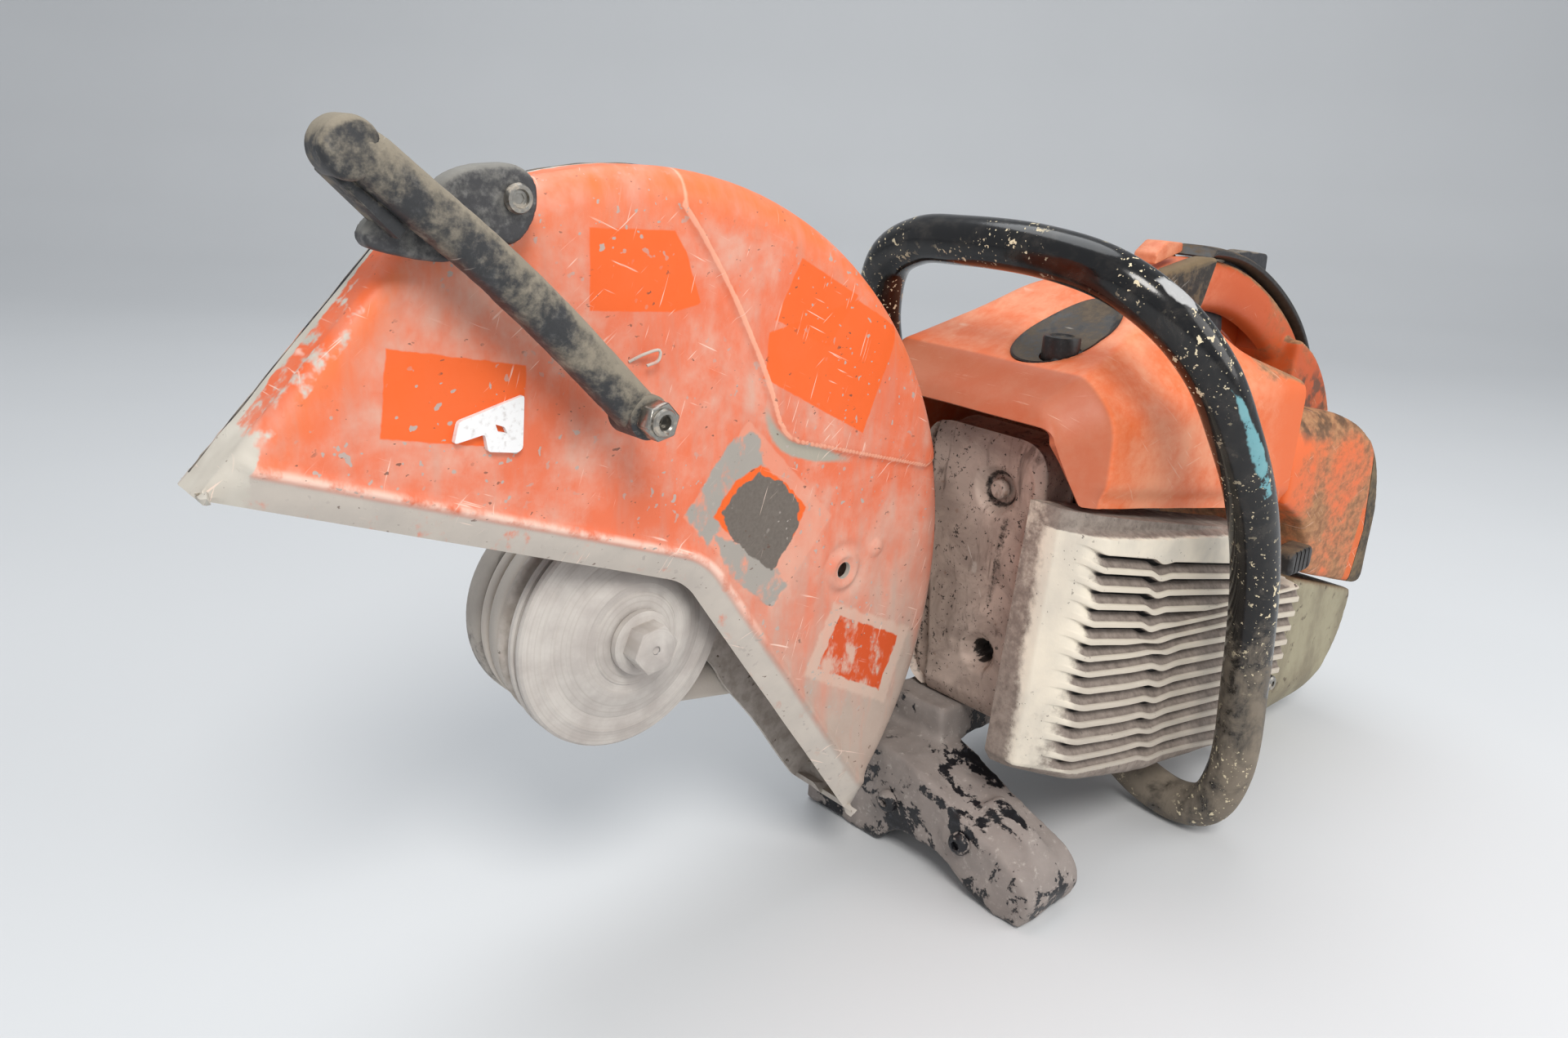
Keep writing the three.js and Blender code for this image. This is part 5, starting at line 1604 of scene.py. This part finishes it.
def hood_insert():
    """The black dished insert that the decompression button sits in."""
    rings, sides = 16, 72
    points = []
    for k in range(rings + 1):
        share = 1.0 - k / rings
        for i in range(sides):
            angle = 2 * math.pi * i / sides
            u, v = math.cos(angle), math.sin(angle)
            stretch = 0.93 / (math.hypot(u, v) + 0.2 * max(0.0, -v) * (1 - abs(u)))
            rim_x = INSERT_AT[0] + INSERT_HALF[0] * u * stretch
            rim_y = INSERT_AT[1] + INSERT_HALF[1] * v * stretch
            away = math.atan2(rim_y + 46, rim_x - 228)
            hole_x, hole_y = 228 + 10.2 * math.cos(away), -46 + 10.2 * math.sin(away)
            x = hole_x + (rim_x - hole_x) * share
            y = hole_y + (rim_y - hole_y) * share
            ys, zs = hood_section(float(x), 240)
            top = float(np.interp(y, ys, zs)) if y < 20 else 100.0
            sunk = 1.9 - 1.2 * math.exp(-((k - 1.2) / 1.1) ** 2)
            points.append((x, y, top - sunk))
    skin = mesh_object("hood_insert", points, grid_faces(rings + 1, sides, wrap=True))
    outward_up(skin)
    wall = skin.modifiers.new("wall", "SOLIDIFY")
    wall.thickness = 0.001
    wall.offset = -1.0
    bake_modifiers(skin)
    finish_piece(skin, insert_plastic, "engine", (), 45)


def decompression_button():
    top = (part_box("decompression_button")[1][2] - SPINDLE[2]) * 1000
    profile = [
        (0, 92), (3.4, 92), (3.4, 98), (8.6, 98), (9.3, 99), (9.3, top - 4.4), (8.7, top - 3.4),
        (7.4, top - 3)
    ]
    profile += [(6.2, top - 3.2), (5.4, top - 4.2), (0, top - 4.4)]
    button = lathe("decompression_button_cap", profile, 228, 0, 56, axis="z", y=-46)
    finish_piece(button, insert_plastic, "decompression", ["decompression_button"], 40)


hood()
hood_insert()
decompression_button()


# Rear housing, tank and handle ---------------------------------------------------------------------------


def rear_housing():
    """The housing between the hood and the rear cover."""
    side = [
        (400.4, 62), (400.4, 8), (404, 8), (432, -8), (446, -34), (446, -44), (541, -73), (541.6, -14),
        (525, 21), (498, 43), (470, 55)
    ]
    front = [(-95, -90), (-95, 42), (-72, 72), (-30, 84), (12, 78), (42, 46), (49.6, -90)]
    body = prism("rear_housing_body", fillet(side, [1, 1, 2, 6, 4, 3, 12, 20, 16, 16, 20], 6), -95, 49.6)
    carve(
        body, prism("front_shape", fillet(front, [2, 26, 24, 24, 24, 22, 2], 6), 398, 545, across="x"),
        operation="INTERSECT"
    )
    remould(body, 2.0, 16)
    points = points_of(body)
    points += np.array([[0.0, 0.3 * rough(p, 24, 5.0), 0.35 * rough(p, 20, 6.0)] for p in points])
    points[:, 0] = np.maximum(points[:, 0], 400.4)
    move_points(body, points)
    rear = bpy.data.objects.new("rear_cover", body.data.copy())
    scene.collection.objects.link(rear)
    seam = [(519, 90), (516, 20), (524, -30), (512, -90)]
    front_side = [(380, 100), *seam, (380, -100)]
    rear_side = [
        (seam[0][0] + 1.1, 100), (560, 100), (560, -100), *[(x + 1.1, z) for x, z in reversed(seam)]
    ]
    carve(body, prism("front_part", front_side, -130, 90), operation="INTERSECT")
    carve(rear, prism("rear_part", rear_side, -130, 90), operation="INTERSECT")
    finish_piece(
        soften(body, 0.8, 2, 50), orange_plastic, "engine", ["rear_housing"], 50
    )
    finish_piece(soften(rear, 0.8, 2, 50), roof_plastic, "engine", (), 50)


def fuel_tank():
    """The translucent tank below the rear housing."""
    side = [
        (430, -106), (446.3, -48.4), (539.5, -77), (533.6, -110), (502.6, -146), (482, -164.8),
        (436, -164.8), (424.4, -142)
    ]
    tank = prism("fuel_tank_body", fillet(side, [10, 3, 6, 22, 24, 14, 10, 14], 6), -90.6, 45.6)
    across = [(-91, -30), (-91, -138), (-65, -165), (46, -165), (46, -30)]
    carve(
        tank, prism("tank_front", fillet(across, [1, 16, 12, 4, 1], 6), 400, 560, across="x"),
        operation="INTERSECT"
    )
    soften_now(tank, 7, 4, 60)
    remould(tank, 1.8, 6)
    points = points_of(tank)
    points[:, 2] = np.maximum(points[:, 2], -165)
    move_points(tank, points)
    neck = lathe("neck", [(0, 39), (19.3, 39), (19.3, 60), (0, 60)], 470, -108, 48)
    carve(tank, neck)
    finish_piece(tank, tank_material, "engine", ["fuel_tank"], 50)


def fuel_cap():
    """The slotted cap on the tank's far side."""
    low = 43.2
    profile = [
        (0, low), (17.8, low), (17.8, 46.4), (22.4, 46.6), (23, 47.6), (23, 53.6), (21.6, 55), (17, 55.2),
        (16, 54), (0, 54)
    ]
    cap = lathe("fuel_cap_turned", profile, 470, -108, 72)
    points = points_of(cap)
    around = np.arctan2(points[:, 2] + 108, points[:, 0] - 470)
    reach = np.hypot(points[:, 2] + 108, points[:, 0] - 470)
    knurl = np.where(reach > 21.2, -0.45 * (np.sin(18 * around) > 0), 0)
    points[:, 0] += knurl * np.cos(around)
    points[:, 2] += knurl * np.sin(around)
    move_points(cap, points)
    bar = block("bar", (452.5, 53, -110.8), (487.5, 60.6, -105.2))
    fuse(cap, soften_now(bar, 1.2, 3))
    finish_piece(cap, black_plastic, "cap", ["fuel_cap"])


handle_line = smooth_route(
    [(318, 138), (350, 146), (400, 141), (450, 121), (490, 93), (514, 62), (524, 28)], 90
)


def handle_route(offset, start=0.0, end=1.0, count=80):
    """The rear handle's bow at a distance below its top line, as (x, y, z)."""
    tangents = np.gradient(handle_line, axis=0)
    tangents /= np.linalg.norm(tangents, axis=1)[:, None]
    normals = np.stack([-tangents[:, 1], tangents[:, 0]], axis=1)
    line = handle_line + normals * offset
    at = np.linspace(start, end, count) * (len(line) - 1)
    x = np.interp(at, np.arange(len(line)), line[:, 0])
    z = np.interp(at, np.arange(len(line)), line[:, 1])
    return np.stack([x, np.full(count, float(HANDLE_Y)), z], axis=1)


def rear_handle():
    """The rear handle's arch, with a foot that flares into the housing."""
    bow = sweep("rear_handle_bow", handle_route(-15.2), lambda t: oval_box(16.4, -14.6, 14.9), (0, 1, 0))
    post = [
        (316, 84), (316, 136), (330, 141), (350, 116), (354, 96), (358, 72), (410, 68), (410, 54.6),
        (349, 56), (349, 80), (324, 80)
    ]
    upright = soften_now(prism("post", fillet(post, 4), HANDLE_Y - 16.4, HANDLE_Y + 16.4), 3, 3, 50)
    web = [(464, 96), (490, 84), (513, 63), (530, 38), (539, 8), (535, -10), (498, 30), (460, 50)]
    web_line = fillet(web, [6, 20, 20, 20, 8, 4, 10, 4])
    fillet_web = soften_now(prism("web", web_line, HANDLE_Y - 27, HANDLE_Y + 27), 10, 5, 60)
    fuse(bow, upright, fillet_web)
    remould(bow, 1.6, 7)
    pocket = [(356, 92), (450, 72), (450, 131), (396, 150), (384, 150), (356, 138)]
    carve(bow, prism("pocket", pocket, HANDLE_Y - 7.6, HANDLE_Y + 7.6))
    carve(
        bow,
        prism(
            "housing_room",
            [(400, 60), (470, 52), (500, 41), (525, 18), (541, -15), (541, -60), (400, -60)], -70, 10
        )
    )
    finish_piece(bow, handle_orange, "engine", ["rear_handle"], 50)


def handle_grip():
    def section(t):
        high = 6.7 * float(smooth_step(t, -0.02, 0.05) * smooth_step(t, 1.02, 0.95))
        return oval_box(15.8, 0.35, max(1.4, high), 2.6, 48)

    pad = sweep("handle_grip_pad", handle_route(0, 1 / 6, 5 / 6, 100), section, (0, 1, 0))
    slot = block("slot", (386, HANDLE_Y - 7.8, 100), (448, HANDLE_Y + 7.8, 180))
    carve(pad, slot)
    finish_piece(pad, grip_rubber, "engine", ["handle_grip_insert"], 45)


def console():
    """The black dusty cowl at the front of the handle, round the stop switch."""
    outline = [(314, 112), (313, 138), (318, 142.5), (352, 148), (366, 147), (356, 122), (344, 104)]
    for side, near, far in (
        ("near", HANDLE_Y - 17.6, HANDLE_Y - 8), ("far", HANDLE_Y + 8, HANDLE_Y + 17.6)
    ):
        cheek = prism("console_" + side, fillet(outline, 4), near, far)
        soften_now(cheek, 2.2, 3, 50)
        finish_piece(cheek, roof_plastic, "engine", (), 45)


def throttle_trigger():
    blade = [
        (357, 129), (366, 132), (382, 120), (402, 112), (405, 102), (392, 88), (386, 88), (386, 98),
        (374, 104), (358, 116)
    ]
    trigger = soften_now(
        prism("trigger_blade", fillet(blade, 3), HANDLE_Y - 5.9, HANDLE_Y + 5.9), 1.4, 3, 50
    )
    finish_piece(trigger, black_plastic, "trigger", ["throttle_trigger"])


def trigger_lockout():
    blade = [
        (390, 132), (400, 131), (444, 128), (447, 134), (446, 145), (420, 148), (398, 146), (390, 142)
    ]
    lockout = soften_now(
        prism("lockout_blade", fillet(blade, 2.5), HANDLE_Y - 5.9, HANDLE_Y + 5.9), 1.4, 3, 50
    )
    finish_piece(lockout, black_plastic, "lockout", ["trigger_lockout"])


def stop_switch():
    rocker = [(318, 144), (332, 147.4), (344, 150.2), (344, 155), (328, 156), (318, 150)]
    switch = soften_now(
        prism("stop_rocker", fillet(rocker, 1.6), HANDLE_Y - 6.9, HANDLE_Y + 6.9), 1.2, 3, 50
    )
    finish_piece(switch, handle_orange, "switch", ["stop_switch"])


rear_housing()
fuel_tank()
fuel_cap()
rear_handle()
handle_grip()
console()
throttle_trigger()
trigger_lockout()
stop_switch()


# Front handle and foot -----------------------------------------------------------------------------------


def front_handle():
    """The bent tube over the hood and round the fan cover."""
    route = smooth_route(
        [
            (262, 68, -20), (246, 68, 20), (228, 68, 70), (214, 65, 112), (206, 52, 141), (202, 28, 153.5),
            (200, 0, 156.5), (200, -50, 156.5), (203, -86, 150), (215, -110, 134), (232, -124, 111),
            (253, -130, 80),
            (277, -132, 44), (296, -132, 2), (308, -132, -60), (313, -131, -118), (315, -121, -144),
            (317, -103, -152.6), (318, -80, -150), (318, -56, -138),
        ],
        300,
    )

    def section(t):
        end = min(t, 1 - t) * 300
        return circle(12.1 * min(1.0, 0.86 + 0.14 * math.sqrt(min(1.0, end / 1.5))), sides=40)

    pipe = sweep("front_handle_tube", route, section)
    points = points_of(pipe)
    nearest = np.argmin(np.linalg.norm(points[:, None] - route[None], axis=2), axis=1)
    push = points - route[nearest]
    push /= np.maximum(np.linalg.norm(push, axis=1), 1e-6)[:, None]
    crust = np.array(
        [0.22 * max(0.0, rough(p, 10, 7.0)) * float(smooth_step(p[2], -20, -120)) for p in points]
    )
    move_points(pipe, points + push * crust[:, None])
    finish_piece(pipe, gloss_black, "engine", ["front_handle"], 50)


def foot_bracket():
    """The cast foot under the engine, with its screws."""
    side = [
        (44, -108), (-24, -104), (-64, -120), (-92, -130), (-108, -137), (-115, -149), (-109, -165),
        (-84, -165), (-58, -150), (-24, -150), (-12, -165), (46, -165),
    ]
    leg = prism(
        "foot_leg", fillet(side, [3, 16, 20, 14, 8, 10, 5, 8, 10, 8, 6, 3], 6), 160.6, 205.4, across="x"
    )
    soften_now(leg, 5, 4, 50)
    rib = soften_now(
        prism(
            "rib",
            fillet([(-106, -144), (-92, -129), (-66, -119.5), (-70, -116), (-96, -126), (-111, -141)], 2),
            176, 190, across="x"
        ),
        1.5
    )
    shelf = soften_now(block("shelf", (190, -25.8, -112), (285.6, 15.8, -88.5)), 2, 2)
    fuse(leg, rib, shelf)
    remould(leg, 1.7, 7)
    points = points_of(leg)
    lumps = []
    for p in points:
        cake = 1.1 * rough(p, 15, 4.0) + 0.6 * rough(p, 6, 9.0)
        lumps.append(cake - 0.5)
    normals = np.empty(len(leg.data.vertices) * 3)
    leg.data.vertices.foreach_get("normal", normals)
    points = points + normals.reshape(-1, 3) * np.array(lumps)[:, None]
    for y, z in ((-70, -134), (-20, -134)):
        away = np.hypot(points[:, 1] - y, points[:, 2] - z)
        front = points[:, 0] < 166
        ring = 1.4 * np.exp(-(((away - 11) / 2.0) ** 2))
        flat = away < 8
        points[:, 0] = np.where(
            front, np.maximum(160.2, np.where(flat, 160.3, points[:, 0] - ring)), points[:, 0]
        )
    points[:, 2] = np.clip(points[:, 2], -164.9, -88.4)
    points[:, 1] = np.clip(points[:, 1], -115, 46)
    move_points(leg, points)
    finish_piece(leg, foot_plastic, "engine", ["foot_bracket"], 60)


def foot_screws():
    for side, y in (("near", -70), ("far", -20)):
        profile = [(0, 155.2), (3.6, 155.2), (5.2, 156.2), (6, 157.6), (6, 159.6), (0, 159.6)]
        screw = lathe("foot_screw_head_" + side, profile, 0, -134, 40, axis="x", y=y)
        carve(
            screw,
            lathe("socket", [(0, 154), (2.6, 154), (2.6, 157.4), (0, 157.4)], 0, -134, 6, axis="x", y=y)
        )
        finish_piece(screw, foot_plastic, "engine", ["foot_screw_" + side])


front_handle()
foot_bracket()
foot_screws()


# Belt side and inner parts ----------------------------------------------------------------------------------

CRANK_X, CRANK_Z = 300, -42


def band_line(radius_a, radius_b, steps=40):
    """The outline of a taut band round the spindle and the crankshaft, as (x, z)."""
    lean = math.atan2(CRANK_Z, CRANK_X)
    open_angle = math.acos((radius_a - radius_b) / math.hypot(CRANK_X, CRANK_Z))
    line = []
    for k in range(steps + 1):
        t = lean + open_angle + (2 * math.pi - 2 * open_angle) * k / steps
        line.append((radius_a * math.cos(t), radius_a * math.sin(t)))
    for k in range(steps + 1):
        t = lean - open_angle + 2 * open_angle * k / steps
        line.append((CRANK_X + radius_b * math.cos(t), CRANK_Z + radius_b * math.sin(t)))
    return line


def belt_cover():
    """The long cover over the cast arm, belt and pulleys."""
    cover = prism("belt_cover_shell", band_line(47.8, 57.8), 35.4, 48.8)
    soften_now(cover, 4, 5, 50)
    carve(cover, prism("panel", band_line(38, 46), 47.6, 60))
    carve(cover, prism("hollow", band_line(45, 55), 30, 46.3))
    boss = [
        prism("boss", circle(13, x, z, 48), 46.4, 48.9)
        for x, z in ((110, -8), (200, -20), (155, -42))
    ]
    ribs = []
    for k in range(6):
        x = 228 + 12 * k
        z = CRANK_Z * x / CRANK_X
        ribs.append(
            soften_now(
                prism(
                    "rib", fillet([(x, z - 26), (x + 4, z - 26), (x + 4, z + 26), (x, z + 26)], 1.9),
                    46.4, 48.7
                ),
                0.8
            )
        )
    fuse(cover, *[soften_now(b, 0.8) for b in boss], *ribs)
    finish_piece(soften(cover, 0.5), belt_cover_plastic, "engine", ["belt_cover"])


def hex_nut(name, node, x, z, radius, low, high, stud):
    nut = prism(name, circle(radius, x, z, 6), low, high)
    soften_now(nut, 0.9, 3)
    fuse(
        nut,
        lathe(
            "stud",
            [(0, low), (stud, low), (stud, high + 0.0), (stud - 0.8, high + 0.6), (0, high + 0.6)], x, z,
            32
        )
    )
    finish_piece(nut, steel, "engine", [node])


def cast_arm():
    arm = prism("cast_arm_body", band_line(47.8, 57.8), 17.2, 34.9)
    soften_now(arm, 3, 4, 50)
    carve(arm, prism("hollow", band_line(44, 54), 22, 60))
    groove = [lathe("groove", [(46.2, 26), (60, 26), (60, 28), (46.2, 28)], 0, 0, 96)]
    carve(arm, *groove)
    collar = [(20.3, 12.2), (38.6, 12.2), (39.9, 13.4), (39.9, 18), (20.3, 18)]
    boss = [(20.3, 17.5), (26, 17.5), (26, 34.7), (20.3, 34.7)]
    bore = lathe("bore", [(0, 10), (20.3, 10), (20.3, 50), (0, 50)], 0, 0, 64)
    drum_room = lathe("drum_room", [(0, 15), (45, 15), (45, 60), (0, 60)], CRANK_X, CRANK_Z, 64)
    fuse(arm, lathe("collar", collar, sides=96), lathe("boss", boss, sides=64))
    carve(arm, bore, drum_room)
    finish_piece(arm, arm_alloy, "engine", ["cast_arm"])


def keep(node, material, bevel=0.5):
    """A CAD node whose shape is right: new material and rounded edges."""
    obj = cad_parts[node]
    for place in range(len(obj.material_slots)):
        obj.material_slots[place].material = material
    weld = obj.modifiers.new("weld", "WELD")
    weld.merge_threshold = 0.00002
    if bevel:
        soften(obj, bevel, 2, 40)


def clear_parts():
    """Gives the CAD pieces that stay as they are their soft edges and looks."""
    kept = {
        steel: [
            "spindle_shaft", "spindle_bearing_front", "spindle_bearing_rear", "spindle_pulley",
            "clutch_drum", "clutch", "crankshaft", "spark_plug",
        ],
        arm_alloy: ["crankcase_near_half", "crankcase_far_half"],
        # The cylinder is darkened with soot and painted shade of the hood's cavity.
        soot_and_shade_alloy: ["cylinder"],
        alloy: ["piston", "flywheel_fan", "carburettor"],
        rubber: ["drive_belt", "spark_plug_boot", "buffer_far", "buffer_near", "buffer_rear"],
        black_plastic: ["ignition_coil", "starter_pulley"],
        exhaust_steel: ["muffler_body"],
        filter_felt: ["air_filter"],
    }
    for material, nodes in kept.items():
        for node in nodes:
            keep(node, material)


belt_cover_plastic = dusty_plastic("belt_cover_plastic", tint(60, 59, 58), tint(196, 187, 177), 0.86, 0.7)
belt_cover()
cast_arm()
hex_nut("arm_nut_hex_front", "arm_nut_front", 110, -8, 8, 49.3, 55.2, 3.6)
hex_nut("arm_nut_hex_rear", "arm_nut_rear", 200, -20, 8, 49.3, 55.2, 3.6)
hex_nut("belt_tensioner_hex", "belt_tensioner", 155, -42, 9, 49.3, 57.2, 4.4)
clear_parts()


# Floor, light and camera --------------------------------------------------------------------


def pale_floor():
    """A plain pale floor that curves up behind the saw."""
    f = Finish("pale_floor", 0.7)
    colour = f.mix(tint(206, 208, 210), tint(212, 214, 216), f.noise(400, 2.0))
    material = f.done(colour)
    mesh = bpy.data.meshes.new("floor")
    size, rise = 5.0, 2.6
    profile = [(-size, 0), (1.6, 0), (1.9, 0.03), (2.15, 0.12), (2.32, 0.28), (2.4, 0.5), (2.44, rise)]
    points = [(x, y, z) for y, z in profile for x in (-size, size)]
    faces = [(2 * i, 2 * i + 1, 2 * i + 3, 2 * i + 2) for i in range(len(profile) - 1)]
    mesh.from_pydata(points, [], faces)
    mesh.polygons.foreach_set("use_smooth", [True] * len(faces))
    floor = bpy.data.objects.new("floor", mesh)
    floor.rotation_euler = (0, 0, math.radians(-43))
    scene.collection.objects.link(floor)
    mesh.materials.append(material)


def area_light(name, place, target, size, power, colour=(1, 1, 1)):
    light = bpy.data.lights.new(name, "AREA")
    light.shape = "DISK"
    light.size = size
    light.energy = power
    light.color = colour
    obj = bpy.data.objects.new(name, light)
    obj.location = place
    obj.rotation_euler = (Vector(target) - Vector(place)).to_track_quat("-Z", "Y").to_euler()
    scene.collection.objects.link(obj)


def studio_light():
    world = bpy.data.worlds.new("studio")
    world.use_nodes = True
    sky = world.node_tree.nodes["Background"]
    sky.inputs["Color"].default_value = (0.93, 0.96, 1.0, 1.0)
    sky.inputs["Strength"].default_value = 0.56
    scene.world = world
    area_light("key", (-0.75, -1.1, 1.55), (0, 0, 0.15), 0.7, 22, (1.0, 0.97, 0.93))
    area_light("fill", (0.9, -1.3, 0.9), (0.05, 0, 0.15), 1.2, 8, (1.0, 0.98, 0.96))
    area_light("top", (0.2, 0.5, 1.9), (0, 0, 0.1), 1.4, 14, (0.95, 0.98, 1.0))


def photo_camera():
    """The photograph's viewing angle: turned from straight across the saw, tipped down and rolled."""
    turn, tip, roll = math.radians(42.80), math.radians(-18.72), math.radians(3.007)
    forward = Vector((math.sin(turn) * math.cos(tip), math.cos(turn) * math.cos(tip), math.sin(tip)))
    level = forward.cross(Vector((0, 0, 1))).normalized()
    upright = level.cross(forward)
    right = level * math.cos(roll) + upright * math.sin(roll)
    up = right.cross(forward)
    camera = bpy.data.cameras.new("photo_camera")
    camera.sensor_width = 36
    camera.lens = 27.39
    obj = bpy.data.objects.new("photo_camera", camera)
    turned = Matrix((right, up, -forward)).transposed().to_4x4()
    obj.matrix_world = Matrix.Translation(Vector(row((-266.22, -385.91, 210.70)))) @ turned
    scene.collection.objects.link(obj)
    scene.camera = obj


scene.view_settings.view_transform = "Standard"
pale_floor()
studio_light()
photo_camera()
